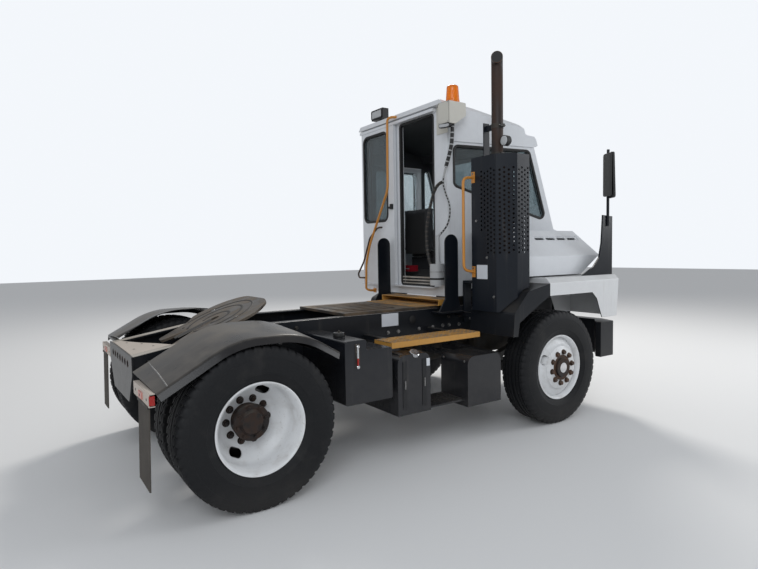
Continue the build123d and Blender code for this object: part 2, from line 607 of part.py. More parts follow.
def rim_barrel(center):
    """The rolled barrel of a disc wheel with its two flanges, its axle along Y."""
    half = RIM_W / 2
    with BuildPart() as piece:
        with BuildSketch(Plane(origin=center)):
            with BuildLine():
                Polyline((RIM_BORE_R, -half + 12), (RIM_R - 8, -half), (RIM_R, -half), (RIM_R, -half + 12),
                         (RIM_BORE_R + 8, -half + 12), (RIM_BORE_R + 8, half - 12), (RIM_R, half - 12),
                         (RIM_R, half), (RIM_R - 8, half), (RIM_BORE_R, half - 12), close=True)
            make_face()
        revolve(axis=Axis(center, (0, 1, 0)))
    return piece.part


def wheel_disc(center, face_y, weld_y, thickness, bore, hole_angle):
    """A dished disc from the barrel to its flat mounting face, with two hand holes."""
    x, _, z = center
    way = 1 if face_y > weld_y else -1
    with BuildPart() as piece:
        with BuildSketch(Plane(origin=(x, 0, z))):
            with BuildLine():
                Polyline((bore, face_y), (180, face_y), (RIM_BORE_R + 1, weld_y), (RIM_BORE_R + 1, weld_y - way * 14),
                         (184, face_y - way * thickness), (bore, face_y - way * thickness), close=True)
            make_face()
        revolve(axis=Axis((x, 0, z), (0, 1, 0)))
        with BuildSketch(side_face(max(face_y, weld_y) + 20).move(Location((x, 0, z)))):
            with PolarLocations(225, 2, start_angle=hole_angle):
                SlotOverall(95, 63, rotation=90)
        extrude(amount=abs(face_y - weld_y) + 60, mode=Mode.SUBTRACT)
    return piece.part


# Wheels: twin tyres on two discs bolted face to face at the rear, single ones ahead
HUB_R = 108
INNER_Y = DUAL_FACE_Y - DUAL_OFFSET
OUTER_Y = DUAL_FACE_Y + DUAL_OFFSET
for side, name in ((1, "left"), (-1, "right")):
    with BuildPart() as rear_tyres:
        for place in (INNER_Y, OUTER_Y):
            add(tyre((REAR_X, side * place, AXLE_Z), TYRE_R, TYRE_W))
    keep(rear_tyres, f"rear_tyres_{name}")

    with BuildPart() as rear_rims:
        for place, weld in ((INNER_Y, DUAL_FACE_Y - 95), (OUTER_Y, DUAL_FACE_Y + 95)):
            center = (REAR_X, side * place, AXLE_Z)
            add(rim_barrel(center))
            add(wheel_disc(center, side * DUAL_FACE_Y, side * weld, 12, HUB_R - 4, 66))
        rod((REAR_X, side * (HOUSING_END_Y + 45), AXLE_Z), (REAR_X, side * (DUAL_FACE_Y + 105), AXLE_Z), HUB_R)
        rod((REAR_X, side * (DUAL_FACE_Y + 86), AXLE_Z), (REAR_X, side * (DUAL_FACE_Y + 102), AXLE_Z), HUB_R + 12)
        rod((REAR_X, side * (DUAL_FACE_Y + 105), AXLE_Z), (REAR_X, side * (DUAL_FACE_Y + 118), AXLE_Z), 70)
        rod((REAR_X, side * (HOUSING_END_Y + 30), AXLE_Z), (REAR_X, side * (DUAL_FACE_Y - 25), AXLE_Z), 205)
        rod((REAR_X, side * (HOUSING_END_Y + 20), AXLE_Z), (REAR_X, side * (HOUSING_END_Y + 61), AXLE_Z),
            SPINDLE_R + RUNNING, Mode.SUBTRACT)
    keep(rear_rims, f"rear_rims_{name}")

    front_center = (FRONT_X, side * FRONT_WHEEL_Y, AXLE_Z)
    with BuildPart() as front_tyre:
        add(tyre(front_center, TYRE_R, TYRE_W))
    keep(front_tyre, f"front_tyre_{name}")

    spindle_end = FRONT_WHEEL_Y + 90
    drum_start = FRONT_WHEEL_Y - 45
    with BuildPart() as front_rim:
        add(rim_barrel(front_center))
        add(wheel_disc(front_center, side * (FRONT_WHEEL_Y + 138), side * (FRONT_WHEEL_Y + 62), 12, 82, 157))
        rod((FRONT_X, side * drum_start, AXLE_Z), (FRONT_X, side * (FRONT_WHEEL_Y + 126), AXLE_Z), 200)
        rod((FRONT_X, side * (FRONT_WHEEL_Y + 126), AXLE_Z), (FRONT_X, side * (FRONT_WHEEL_Y + 158), AXLE_Z), 84)
        rod((FRONT_X, side * (drum_start - 5), AXLE_Z), (FRONT_X, side * spindle_end, AXLE_Z), 40 + RUNNING,
            Mode.SUBTRACT)
    keep(front_rim, f"front_rim_{name}")

    with BuildPart() as knuckle:
        rod((FRONT_X, side * KINGPIN_Y, 425), (FRONT_X, side * KINGPIN_Y, 630), KINGPIN_R)
        for low, high in ((425, 465), (590, 630)):
            rod((FRONT_X, side * KINGPIN_Y, low), (FRONT_X, side * KINGPIN_Y, high), EYE_R)
        block((FRONT_X - 48, FRONT_X + 48), (side * (KINGPIN_Y + EYE_R + GAP), side * (drum_start - 20)), (430, 626))
        for low, high in ((430, 465), (590, 626)):
            block((FRONT_X - 48, FRONT_X + 48), (side * KINGPIN_Y, side * (KINGPIN_Y + EYE_R + GAP)), (low, high))
        rod((FRONT_X, side * (KINGPIN_Y + EYE_R + GAP), AXLE_Z), (FRONT_X, side * (spindle_end - 20), AXLE_Z), 40)
        rod((FRONT_X, side * (drum_start - 20), AXLE_Z), (FRONT_X, side * (drum_start - GAP), AXLE_Z), 190)
        block((FRONT_X - 250, FRONT_X), (side * (KINGPIN_Y - 25), side * (KINGPIN_Y + 15)), (425, 450))
    keep(knuckle, f"knuckle_{name}")

# Lift boom: two arms on a pivot tube, the saddle's pin and the cylinders' upper pin
with BuildPart() as boom:
    arm = [(BOOM_X, BOOM_Z + 62), (BOOM_X, BOOM_Z - 62), (LIFT_EYE_X, LIFT_EYE_Z - 55),
           (SADDLE_X - 30, SADDLE_Z - 40), (SADDLE_X - 30, SADDLE_Z + 40)]
    add(slab(arm, (ARM_Y, ARM_Y + ARM_W)))
    rod((BOOM_X, ARM_Y, BOOM_Z), (BOOM_X, ARM_Y + ARM_W, BOOM_Z), 62)
    rod((SADDLE_X, ARM_Y, SADDLE_Z), (SADDLE_X, ARM_Y + ARM_W, SADDLE_Z), 50)
    mirror(about=Plane.XZ)
    rod((BOOM_X, -ARM_Y - ARM_W - 15, BOOM_Z), (BOOM_X, ARM_Y + ARM_W + 15, BOOM_Z), 48)
    rod((BOOM_X, -RAIL_Y, BOOM_Z), (BOOM_X, RAIL_Y, BOOM_Z), BOOM_PIN_R + RUNNING, Mode.SUBTRACT)
    rod((SADDLE_X, -ARM_Y - 10, SADDLE_Z), (SADDLE_X, ARM_Y + 10, SADDLE_Z), SADDLE_PIN_R)
    rod((LIFT_EYE_X, -ARM_Y - 10, LIFT_EYE_Z), (LIFT_EYE_X, ARM_Y + 10, LIFT_EYE_Z), LIFT_PIN_R)
    block((BOOM_X - 260, BOOM_X - 160), (-ARM_Y - 10, ARM_Y + 10), (BOOM_Z - 30, BOOM_Z + 40))
keep(boom, "boom")

# Lift cylinders, one under each arm, drawn along the line from base pin to boom pin
lift_way = Vector(LIFT_EYE_X - LIFT_BASE_X, 0, LIFT_EYE_Z - LIFT_BASE_Z)
lift_length = lift_way.length
lift_unit = lift_way.normalized()
BARREL_R = 46
LIFT_ROD_R = 26
BARREL_TOP = lift_length - 75


def on_lift(distance, y):
    """A point on a lift cylinder's axis, this far from its base pin."""
    return (LIFT_BASE_X + lift_unit.X * distance, y, LIFT_BASE_Z + lift_unit.Z * distance)


with BuildPart() as lift_barrels:
    for y in (-LIFT_Y, LIFT_Y):
        rod((LIFT_BASE_X, y - 25, LIFT_BASE_Z), (LIFT_BASE_X, y + 25, LIFT_BASE_Z), 40)
        rod(on_lift(30, y), on_lift(BARREL_TOP, y), BARREL_R)
        rod(on_lift(60, y), on_lift(BARREL_TOP + 5, y), LIFT_ROD_R + RUNNING, Mode.SUBTRACT)
        rod((LIFT_BASE_X, y - 50, LIFT_BASE_Z), (LIFT_BASE_X, y + 50, LIFT_BASE_Z), LIFT_PIN_R + RUNNING,
            Mode.SUBTRACT)
keep(lift_barrels, "lift_barrels")

with BuildPart() as lift_rods:
    for y in (-LIFT_Y, LIFT_Y):
        rod(on_lift(70, y), on_lift(lift_length, y), LIFT_ROD_R)
        rod((LIFT_EYE_X, y - 25, LIFT_EYE_Z), (LIFT_EYE_X, y + 25, LIFT_EYE_Z), 46)
        rod((LIFT_EYE_X, y - 60, LIFT_EYE_Z), (LIFT_EYE_X, y + 60, LIFT_EYE_Z), LIFT_PIN_R + LIFT_EYE_PLAY,
            Mode.SUBTRACT)
keep(lift_rods, "lift_rods")

# Fifth wheel: a thick round-fronted plate with a throat between two horns, tilted on the boom's
# pin
tilt = radians(SADDLE_TILT)
saddle_plane = Plane(
    origin=(SADDLE_X - sin(tilt) * SADDLE_RISE, 0, SADDLE_Z + cos(tilt) * SADDLE_RISE),
    x_dir=(cos(tilt), 0, sin(tilt)),
    z_dir=(-sin(tilt), 0, cos(tilt)),
)
SADDLE_REACH = SADDLE_L / 2
THROAT_R = 34
LUG_Y = (195, 232)
plate_half = [(-SADDLE_REACH, 245), (-120, 332), (-30, SADDLE_W / 2), (SADDLE_REACH - 194, SADDLE_W / 2),
              (SADDLE_REACH, 260)]
plate_radii = [40, 100, 110, 290, 290]
with BuildPart() as fifth_wheel:
    with BuildSketch(saddle_plane):
        with BuildLine():
            Polyline(*plate_half, *[(x, -y) for x, y in reversed(plate_half)], close=True)
        make_face()
        for corner, radius in zip(plate_half, plate_radii):
            fillet(vertices().filter_by(lambda v: hypot(v.X - corner[0], abs(v.Y) - corner[1]) < 1), radius)
        with BuildLine():
            Polyline((-SADDLE_REACH, -150), (-SADDLE_REACH, 150), (-150, THROAT_R), (20, THROAT_R),
                     (20, -THROAT_R), (-150, -THROAT_R), close=True)
        make_face(mode=Mode.SUBTRACT)
        with Locations((20, 0)):
            Circle(THROAT_R, mode=Mode.SUBTRACT)
    extrude(amount=-SADDLE_T)
    with BuildSketch(saddle_plane.offset(-SADDLE_T)):
        for side in (1, -1):
            with Locations((0, side * (LUG_Y[0] + LUG_Y[1]) / 2)):
                Rectangle(SADDLE_L * 0.8, LUG_Y[1] - LUG_Y[0])
    extrude(amount=-30)
    for side in (1, -1):
        with BuildSketch(Plane(origin=(saddle_plane.origin.X, side * LUG_Y[1], saddle_plane.origin.Z),
                               x_dir=saddle_plane.x_dir, z_dir=(0, -1, 0))):
            with BuildLine():
                Polyline((-130, -SADDLE_T), (130, -SADDLE_T), (42, -SADDLE_RISE), (-42, -SADDLE_RISE), close=True)
            make_face()
            with Locations((0, -SADDLE_RISE)):
                Circle(42)
        extrude(amount=side * (LUG_Y[1] - LUG_Y[0]))
    rod((SADDLE_X, -ARM_Y, SADDLE_Z), (SADDLE_X, ARM_Y, SADDLE_Z), SADDLE_PIN_R + RUNNING, Mode.SUBTRACT)
keep(fifth_wheel, "fifth_wheel")

# Cab shell: one side outline cut to the plan, hollowed by the same wall all round
toe = radians(CAB_TOE)


def right_wall_y(x, inset=0):
    """Where the cab's right wall stands at this x, moved in by an inset."""
    return CAB_RIGHT_Y - (x - CAB_REAR_X) * tan(toe) + inset / cos(toe)


cab_side = [
    (CAB_REAR_X, CAB_BOTTOM),
    (CAB_REAR_X, CAB_TOP),
    (FRONT_X - 326, CAB_TOP - 50),
    (FRONT_X + 200, 2850),
    (FRONT_X + 250, 2772),
    (BROW_X, BROW_Z),
    (COWL_X, COWL_Z),
    (NOSE_X - 160, HOOD_TOP),
    (NOSE_X, NOSE_Z),
    (NOSE_X, DECK_Z),
    (FRONT_X - 180, DECK_Z),
    (FRONT_X - 480, CAB_BOTTOM),
]
cab_plan = [(CAB_REAR_X, CAB_LEFT_Y), (CAB_REAR_X, CAB_RIGHT_Y), (NOSE_X, right_wall_y(NOSE_X)),
            (NOSE_X, CAB_LEFT_Y)]


def cab_block(inset):
    """The cab's outer shape, or what is left inside its walls."""
    with BuildPart() as piece:
        with BuildSketch(side_face(CAB_LEFT_Y + 10)):
            with BuildLine():
                Polyline(*cab_side, close=True)
            make_face()
            if inset:
                offset(amount=-inset, kind=Kind.INTERSECTION)
        extrude(amount=CAB_LEFT_Y - HOOD_Y)
        with BuildSketch(Plane.XY.offset(CAB_BOTTOM - 10)):
            with BuildLine():
                Polyline(*cab_plan, close=True)
            make_face()
            if inset:
                offset(amount=-inset, kind=Kind.INTERSECTION)
        extrude(amount=CAB_TOP - CAB_BOTTOM + 20, mode=Mode.INTERSECT)
    return piece.part


rear_plane = Plane(origin=(CAB_REAR_X, 0, 0), x_dir=(0, -1, 0), z_dir=(-1, 0, 0))
left_plane = Plane(origin=(0, CAB_LEFT_Y, 0), x_dir=(-1, 0, 0), z_dir=(0, 1, 0))
right_plane = Plane(origin=(CAB_REAR_X, CAB_RIGHT_Y, 0), x_dir=(cos(toe), -sin(toe), 0),
                    z_dir=(-sin(toe), -cos(toe), 0))
lean = atan2(COWL_X - BROW_X, BROW_Z - COWL_Z)
screen_plane = Plane(origin=(COWL_X, 0, COWL_Z), x_dir=(0, 1, 0), z_dir=(cos(lean), 0, sin(lean)))
SCREEN_H = hypot(COWL_X - BROW_X, BROW_Z - COWL_Z)

DOOR_Z = (1275, 2985)
REAR_DOOR_Y = (-144, 409)
SIDE_DOOR_X = (FRONT_X - 556, FRONT_X + 194)
SIDE_DOOR_Z = (1395, 2670)
SIDE_HINGE_Y = CAB_LEFT_Y + 14
SIDE_HINGE_Z = (1560, 2520)
SIDE_PIN_R = 8

# Windows: plane, outline on it, corner radius
windows = [
    (rear_plane, [(-1050, 1990), (-600, 1990), (-600, 2940), (-1050, 2940)], 60),
    (right_plane, [(75, 2265), (1190, 1930), (975, 2645), (75, 2650)], 50),
    (left_plane, [(-FRONT_X - 250, 1900), (-FRONT_X - 540, 1900), (-FRONT_X - 330, 2640),
                  (-FRONT_X - 250, 2640)], 30),
    (screen_plane, [(right_wall_y(COWL_X) + 90, 60), (CAB_LEFT_Y - 80, 60), (CAB_LEFT_Y - 80, SCREEN_H - 70),
                    (right_wall_y(BROW_X) + 90, SCREEN_H - 70)], 60),
]


def pane(plane, outline, radius, start, thickness, trim=0):
    """A flat piece on a wall's plane, from a depth below the wall's face."""
    with BuildPart() as piece:
        with BuildSketch(plane.offset(-start)):
            with BuildLine():
                Polyline(*outline, close=True)
            make_face()
            fillet(vertices(), radius)
            if trim:
                offset(amount=-trim)
        extrude(amount=-thickness)
    return piece.part


with BuildPart() as cab_shell:
    add(cab_block(0))
    add(cab_block(CAB_WALL), mode=Mode.SUBTRACT)
    for plane, outline, radius in windows:
        add(pane(plane, outline, radius, -20, CAB_WALL + 45), mode=Mode.SUBTRACT)
    block((CAB_REAR_X - 10, CAB_REAR_X + CAB_WALL + 10), REAR_DOOR_Y, DOOR_Z, Mode.SUBTRACT)
    block(SIDE_DOOR_X, (CAB_LEFT_Y - CAB_WALL - 10, CAB_LEFT_Y + 10), SIDE_DOOR_Z, Mode.SUBTRACT)
    block((CAB_REAR_X - 55, CAB_REAR_X), (-200, CAB_LEFT_Y), (DOOR_Z[0] - 22, DOOR_Z[0] - 10))
    block((CAB_REAR_X - 55, CAB_REAR_X), (-200, CAB_LEFT_Y), (DOOR_Z[1] + 15, DOOR_Z[1] + 45))
    for z in SIDE_HINGE_Z:
        block((SIDE_DOOR_X[1], SIDE_DOOR_X[1] + 50), (CAB_LEFT_Y, CAB_LEFT_Y + 10), (z - 50, z + 50))
        for low, high in ((z - 50, z - 20), (z + 20, z + 50)):
            rod((SIDE_DOOR_X[1], SIDE_HINGE_Y, low), (SIDE_DOOR_X[1], SIDE_HINGE_Y, high), 14)
        block((SIDE_DOOR_X[1] - 20, SIDE_DOOR_X[1] + 20), (CAB_LEFT_Y, CAB_LEFT_Y + 40), (z - 20, z + 20), Mode.SUBTRACT)
        rod((SIDE_DOOR_X[1], SIDE_HINGE_Y, z - 50), (SIDE_DOOR_X[1], SIDE_HINGE_Y, z + 50), SIDE_PIN_R)
    for side in (1, -1):
        lug = [(HINGE_X - 120, DECK_Z + 20), (HINGE_X - 40, DECK_Z + 20), (HINGE_X + 20, HINGE_Z + 20),
               (HINGE_X + 20, HINGE_Z - 20), (HINGE_X - 20, HINGE_Z - 20), (HINGE_X - 120, DECK_Z - 20)]
        lug_y = sorted((side * (RAIL_Y - 90), side * (RAIL_Y - 50)))
        add(slab(lug, lug_y))
        rod((HINGE_X, lug_y[0], HINGE_Z), (HINGE_X, lug_y[1], HINGE_Z), 30)
        rod((HINGE_X, lug_y[0] - 5, HINGE_Z), (HINGE_X, lug_y[1] + 5, HINGE_Z), HINGE_PIN_R + RUNNING,
            Mode.SUBTRACT)
keep(cab_shell, "cab_shell")

with BuildPart() as cab_glass:
    for plane, outline, radius in windows:
        add(pane(plane, outline, radius, CAB_WALL / 2, GLASS_T, SEAT))
keep(cab_glass, "cab_glass")

# Roof cap: deep side skirts with bevelled upper edges, a lip at the rear, and a round front that
# drops to a short visor
CAP_SKIN = 14
cap_top = [(CAB_REAR_X - 60, CAB_TOP + 50), (FRONT_X - 326, CAB_TOP - 10), (FRONT_X + 430, 2867)]
cap_front = [(FRONT_X + 193, 2918), (FRONT_X + 225, 2902), (FRONT_X + 247, 2872), (FRONT_X + 265, 2812), (FRONT_X + 293, 2803),
             (FRONT_X + 375, 2794), (FRONT_X + 398, 2765), (FRONT_X + 417, 2704)]
cap_sides = [(CAB_LEFT_Y + CAP_SKIN, Vector(0, 1, 0)), (CAB_RIGHT_Y - CAP_SKIN / cos(toe), Vector(-sin(toe), -cos(toe), 0))]
with BuildPart() as roof_cap:
    add(slab([(CAB_REAR_X - 60, 2600), *cap_top, (FRONT_X + 430, 2600)], (HOOD_Y, CAB_LEFT_Y + CAP_SKIN)))
    with BuildSketch(Plane.XY.offset(2600)):
        with BuildLine():
            Polyline((CAB_REAR_X - 60, CAB_LEFT_Y + CAP_SKIN), (CAB_REAR_X - 60, CAB_RIGHT_Y - CAP_SKIN),
                     (CAB_REAR_X, CAB_RIGHT_Y - CAP_SKIN), (FRONT_X + 560, right_wall_y(FRONT_X + 560, -CAP_SKIN)),
                     (FRONT_X + 560, CAB_LEFT_Y + CAP_SKIN), close=True)
        make_face()
    extrude(amount=600, mode=Mode.INTERSECT)
    for (x0, z0), (x1, z1) in zip(cap_top, cap_top[1:]):
        for y, outward in cap_sides:
            edge_x = CAB_REAR_X if outward.X else x0
            edge_z = z0 + (z1 - z0) * (edge_x - x0) / (x1 - x0)
            bevel_way = (Vector(z0 - z1, 0, x1 - x0).normalized() + outward).normalized()
            split(bisect_by=Plane(origin=Vector(edge_x, y, edge_z) - outward * 42, z_dir=bevel_way), keep=Keep.BOTTOM)
    cap = [(CAB_REAR_X - 60, CAB_TOP + 5), *cap_top[:2], *cap_front, (FRONT_X + 395, 2692), (BROW_X + 4, BROW_Z - 4),
           (FRONT_X + 250, 2772), (FRONT_X + 200, 2850), (FRONT_X - 326, CAB_TOP - 50), (CAB_REAR_X, CAB_TOP)]
    cap_skirt = [(CAB_REAR_X + 20, 2690), (CAB_REAR_X + 20, CAB_TOP + 10), (FRONT_X - 326, CAB_TOP - 30),
                 (FRONT_X + 200, 2880), (FRONT_X + 258, 2800), (FRONT_X + 370, 2785), (FRONT_X + 410, 2706),
                 (FRONT_X + 375, 2685)]
    with BuildPart(mode=Mode.INTERSECT):
        add(slab(cap, (HOOD_Y, CAB_LEFT_Y + CAP_SKIN)))
        add(slab(cap_skirt, (HOOD_Y, CAB_LEFT_Y + CAP_SKIN)))
    add(cab_block(0), mode=Mode.SUBTRACT)
keep(roof_cap, "roof_cap")

# Hood beside the cab: open underneath, with louvre slots in a recess of its shoulder and a facet
# cut across its lower front corner
HOOD_WALL = 20
facet_way = Vector(0.433, -0.554, -0.711).normalized()


def hood_block(inset):
    """The hood's outer shape beside the cab, or the room under it."""
    with BuildPart() as piece:
        section = [(HOOD_Y + inset, DECK_Z - (inset and 50)), (HOOD_Y + inset, NOSE_Z - inset / 4),
                   (HOOD_TOP_Y + inset / 2, HOOD_TOP - inset), (0, HOOD_TOP - inset), (0, DECK_Z - (inset and 50))]
        add(cross_slab(section, (HOOD_REAR_X + inset, NOSE_X)))
        nose = [(HOOD_REAR_X + inset, DECK_Z - 60), (HOOD_REAR_X + inset, HOOD_TOP), (NOSE_X - 160 - inset, HOOD_TOP),
                (NOSE_X - inset, NOSE_Z - inset / 4), (NOSE_X - inset, DECK_Z - 60)]
        with BuildSketch(side_face(10)):
            with BuildLine():
                Polyline(*nose, close=True)
            make_face()
        extrude(amount=10 - HOOD_Y, mode=Mode.INTERSECT)
        with BuildSketch(Plane.XY.offset(DECK_Z - 70)):
            with BuildLine():
                Polyline((HOOD_REAR_X, HOOD_Y), (NOSE_X, HOOD_Y), (NOSE_X, right_wall_y(NOSE_X, -inset)),
                         (HOOD_REAR_X, right_wall_y(HOOD_REAR_X, -inset)), close=True)
            make_face()
        extrude(amount=HOOD_TOP, mode=Mode.INTERSECT)
        facet_at = Vector(FRONT_X + 880, HOOD_Y, NOSE_Z + 14) - facet_way * inset
        split(bisect_by=Plane(origin=tuple(facet_at), z_dir=tuple(facet_way)), keep=Keep.BOTTOM)
    return piece.part


shoulder = atan2(HOOD_TOP_Y - HOOD_Y, HOOD_TOP - NOSE_Z)
shoulder_plane = Plane(origin=(FRONT_X, (HOOD_Y + HOOD_TOP_Y) / 2, (NOSE_Z + HOOD_TOP) / 2), x_dir=(1, 0, 0),
                       z_dir=(0, -cos(shoulder), sin(shoulder)))
with BuildPart() as hood:
    add(hood_block(0))
    add(hood_block(HOOD_WALL), mode=Mode.SUBTRACT)
    with BuildSketch(shoulder_plane.offset(20)):
        with Locations((355, 63)):
            RectangleRounded(700, 62, 20)
    extrude(amount=-28, mode=Mode.SUBTRACT)
    with BuildSketch(shoulder_plane.offset(20)):
        with Locations((108, 63), (273, 63), (438, 63), (603, 63)):
            SlotOverall(140, 30)
    extrude(amount=-60, mode=Mode.SUBTRACT)
keep(hood, "hood")

# Sliding rear door, parked open to the left, with its window
SLIDE_Y = (470, 1100)
SLIDE_X = (CAB_REAR_X - 50, CAB_REAR_X - 12)
slide_plane = Plane(origin=(SLIDE_X[0], 0, 0), x_dir=(0, -1, 0), z_dir=(-1, 0, 0))
slide_window = [(-1055, 1975), (-590, 1975), (-590, 2950), (-1055, 2950)]
with BuildPart() as rear_door:
    block(SLIDE_X, SLIDE_Y, (DOOR_Z[0] - 10 + SLIDING, DOOR_Z[1] + 15 - SLIDING))
    add(pane(slide_plane, slide_window, 70, -5, 60), mode=Mode.SUBTRACT)
keep(rear_door, "rear_door")

with BuildPart() as rear_door_glass:
    add(pane(slide_plane, slide_window, 70, 16, GLASS_T, SEAT))
keep(rear_door_glass, "rear_door_glass")

# Hinged side door on the left
SIDE_WINDOW = [(-FRONT_X - 130, 1900), (-FRONT_X + 490, 1900), (-FRONT_X + 490, 2610), (-FRONT_X - 130, 2610)]
with BuildPart() as side_door:
    block((SIDE_DOOR_X[0] + 6, SIDE_DOOR_X[1] - 6), (CAB_LEFT_Y - CAB_WALL, CAB_LEFT_Y),
          (SIDE_DOOR_Z[0] + 6, SIDE_DOOR_Z[1] - 6))
    add(pane(left_plane, SIDE_WINDOW, 60, -5, 70), mode=Mode.SUBTRACT)
    for z in SIDE_HINGE_Z:
        block((SIDE_DOOR_X[1] - 56, SIDE_DOOR_X[1]), (CAB_LEFT_Y, CAB_LEFT_Y + 10), (z - 18, z + 18))
        rod((SIDE_DOOR_X[1], SIDE_HINGE_Y, z - 18), (SIDE_DOOR_X[1], SIDE_HINGE_Y, z + 18), 14)
        rod((SIDE_DOOR_X[1], SIDE_HINGE_Y, z - 20), (SIDE_DOOR_X[1], SIDE_HINGE_Y, z + 20), SIDE_PIN_R + RUNNING,
            Mode.SUBTRACT)
keep(side_door, "side_door")

with BuildPart() as side_door_glass:
    add(pane(left_plane, SIDE_WINDOW, 60, CAB_WALL / 2, GLASS_T, SEAT))
keep(side_door_glass, "side_door_glass")

# Cab inside: floor, seat stand, console and dash
FLOOR_Z = 1270
wheel_way = Vector(-0.5, 0, 0.866)
column_foot = Vector(FRONT_X + 420, 560, 1740)
with BuildPart() as cab_interior:
    block((CAB_REAR_X + CAB_WALL, FRONT_X - 500), (right_wall_y(CAB_REAR_X, 60), CAB_LEFT_Y - CAB_WALL),
          (CAB_BOTTOM + CAB_WALL, FLOOR_Z))
    block((FRONT_X - 200, FRONT_X + 200), (330, 790), (DECK_Z + CAB_WALL, 1560))
    block((FRONT_X - 200, FRONT_X + 350), (-40, 200), (DECK_Z + CAB_WALL, 1700))
    block((FRONT_X + 400, COWL_X - 60), (right_wall_y(FRONT_X + 400, 120), CAB_LEFT_Y - CAB_WALL - 5),
          (DECK_Z + CAB_WALL, 1790))
    rod(tuple(column_foot), tuple(column_foot + wheel_way * 150), 30)
keep(cab_interior, "cab_interior")

with BuildPart() as seat:
    block((FRONT_X - 220, FRONT_X + 250), (320, 800), (1560 + SEAT, 1680))
    block((FRONT_X - 330, FRONT_X - 220), (330, 790), (1600, 2260))
keep(seat, "seat")

with BuildPart() as steering_wheel:
    hub = column_foot + wheel_way * 300
    rod(tuple(column_foot + wheel_way * (150 + SEAT)), tuple(hub), 24)
    with BuildSketch(Plane(origin=tuple(hub), x_dir=(0, 1, 0), z_dir=tuple(wheel_way))):
        Circle(215)
        Circle(185, mode=Mode.SUBTRACT)
        Rectangle(400, 34)
        Circle(50)
    extrude(amount=22)
keep(steering_wheel, "steering_wheel")

# Relay box hung on the cab's rear right corner from a plate, and the beacon on it
BOX_Y = (-500, CAB_RIGHT_Y)
BOX_TOP = 3030
BOX_BOTTOM = 2823
with BuildPart() as roof_box:
    box_side = [(CAB_REAR_X - 110, BOX_TOP), (CAB_REAR_X + 110, BOX_TOP), (CAB_REAR_X + 110, 2910),
                (CAB_REAR_X - 20, BOX_BOTTOM), (CAB_REAR_X - 110, BOX_BOTTOM)]
    add(slab(box_side, BOX_Y, 12))
    block((CAB_REAR_X, CAB_REAR_X + 120), (CAB_RIGHT_Y - 50, CAB_RIGHT_Y + 10), (2800, BOX_TOP + 10), Mode.SUBTRACT)
    block((CAB_REAR_X - 8, CAB_REAR_X), (CAB_RIGHT_Y - 15, -205), (2770, 3040))
keep(roof_box, "roof_box")

BEACON_AT = (CAB_REAR_X, -435)
with BuildPart() as beacon:
    rod((*BEACON_AT, BOX_TOP), (*BEACON_AT, BOX_TOP + 22), 66)
    with Locations((*BEACON_AT, BOX_TOP + 22)):
        Cone(64, 54, 140, align=(Align.CENTER, Align.CENTER, Align.MIN))
    fillet(faces().sort_by(Axis.Z)[-1].edges(), 18)
keep(beacon, "beacon")

with BuildPart() as work_lamp:
    block((CAB_REAR_X - 70, CAB_REAR_X + 10), (630, 850), (CAB_TOP + 70, CAB_TOP + 180))
    rod((CAB_REAR_X - 20, 740, CAB_TOP + 45.8), (CAB_REAR_X - 20, 740, CAB_TOP + 75), 12)
keep(work_lamp, "work_lamp")

# Orange hand rails on the cab's rear, clear of the sliding door
RAIL_X = CAB_REAR_X - 110
with BuildPart() as cab_rails:
    first = [(CAB_REAR_X - 60 - SEAT, 390, CAB_TOP + 28), (RAIL_X, 390, CAB_TOP + 28), (RAIL_X, 540, CAB_TOP + 24),
             (RAIL_X, 545, 2300), (RAIL_X, 730, 2070), (RAIL_X, 1140, 1390), (RAIL_X, 1115, 1222),
             (CAB_REAR_X - SEAT, 1115, 1222)]
    add(tube(first, 13, 35))
keep(cab_rails, "cab_rails")

# Air dryer canister on the cab's rear wall, its pipe and the elbow that takes the hose
CANISTER_X = CAB_REAR_X - 78
HOSE_END = Vector(CANISTER_X, -340, 1800)
with BuildPart() as canister:
    rod((CANISTER_X, -270, 1290), (CANISTER_X, -270, 1500), 70)
    rod((CANISTER_X, -290, 1500), (CANISTER_X, -290, 1778), 20)
    rod((CANISTER_X, -290, 1770), tuple(HOSE_END), 12)
    block((CAB_REAR_X - 30, CAB_REAR_X), (-310, -230), (1340, 1440))
keep(canister, "canister")


def cord_radii(points):
    """Bend radii that join a cord's runs in one smooth line."""
    radii = []
    for before, here, after in zip(points, points[1:], points[2:]):
        come = Vector(*here) - Vector(*before)
        go = Vector(*after) - Vector(*here)
        half_turn = radians(come.get_angle(go)) / 2
        radii.append(0.45 * min(come.length, go.length) / tan(half_turn))
    return radii


# Air hose from the relay box down to the canister's elbow, with a slack bow to the right
HOSE_R = 8
HOSE_TOP = (CAB_REAR_X - 34, -466, BOX_BOTTOM)
hose_points = [
    HOSE_TOP,
    (CAB_REAR_X - 34, -466, 2680),
    (CAB_REAR_X - 42, -428, 2540),
    (CAB_REAR_X - 54, -380, 2410),
    (CAB_REAR_X - 64, -352, 2290),
    (CAB_REAR_X - 68, -395, 2180),
    (CAB_REAR_X - 64, -450, 2080),
    (CAB_REAR_X - 68, -462, 1960),
    tuple(HOSE_END - Vector(0, 50, -30).normalized() * 90),
    tuple(HOSE_END),
]
hose_radii = cord_radii(hose_points)
print("air hose bends", [round(radius) for radius in hose_radii])
with BuildPart() as air_hose:
    with BuildLine() as hose_line:
        FilletPolyline(*hose_points, radius=hose_radii)
    with BuildSketch(Plane(origin=hose_line.line @ 0, z_dir=hose_line.line % 0)):
        Circle(HOSE_R)
    sweep()
keep(air_hose, "air_hose")

print(len(KEPT), "nodes")
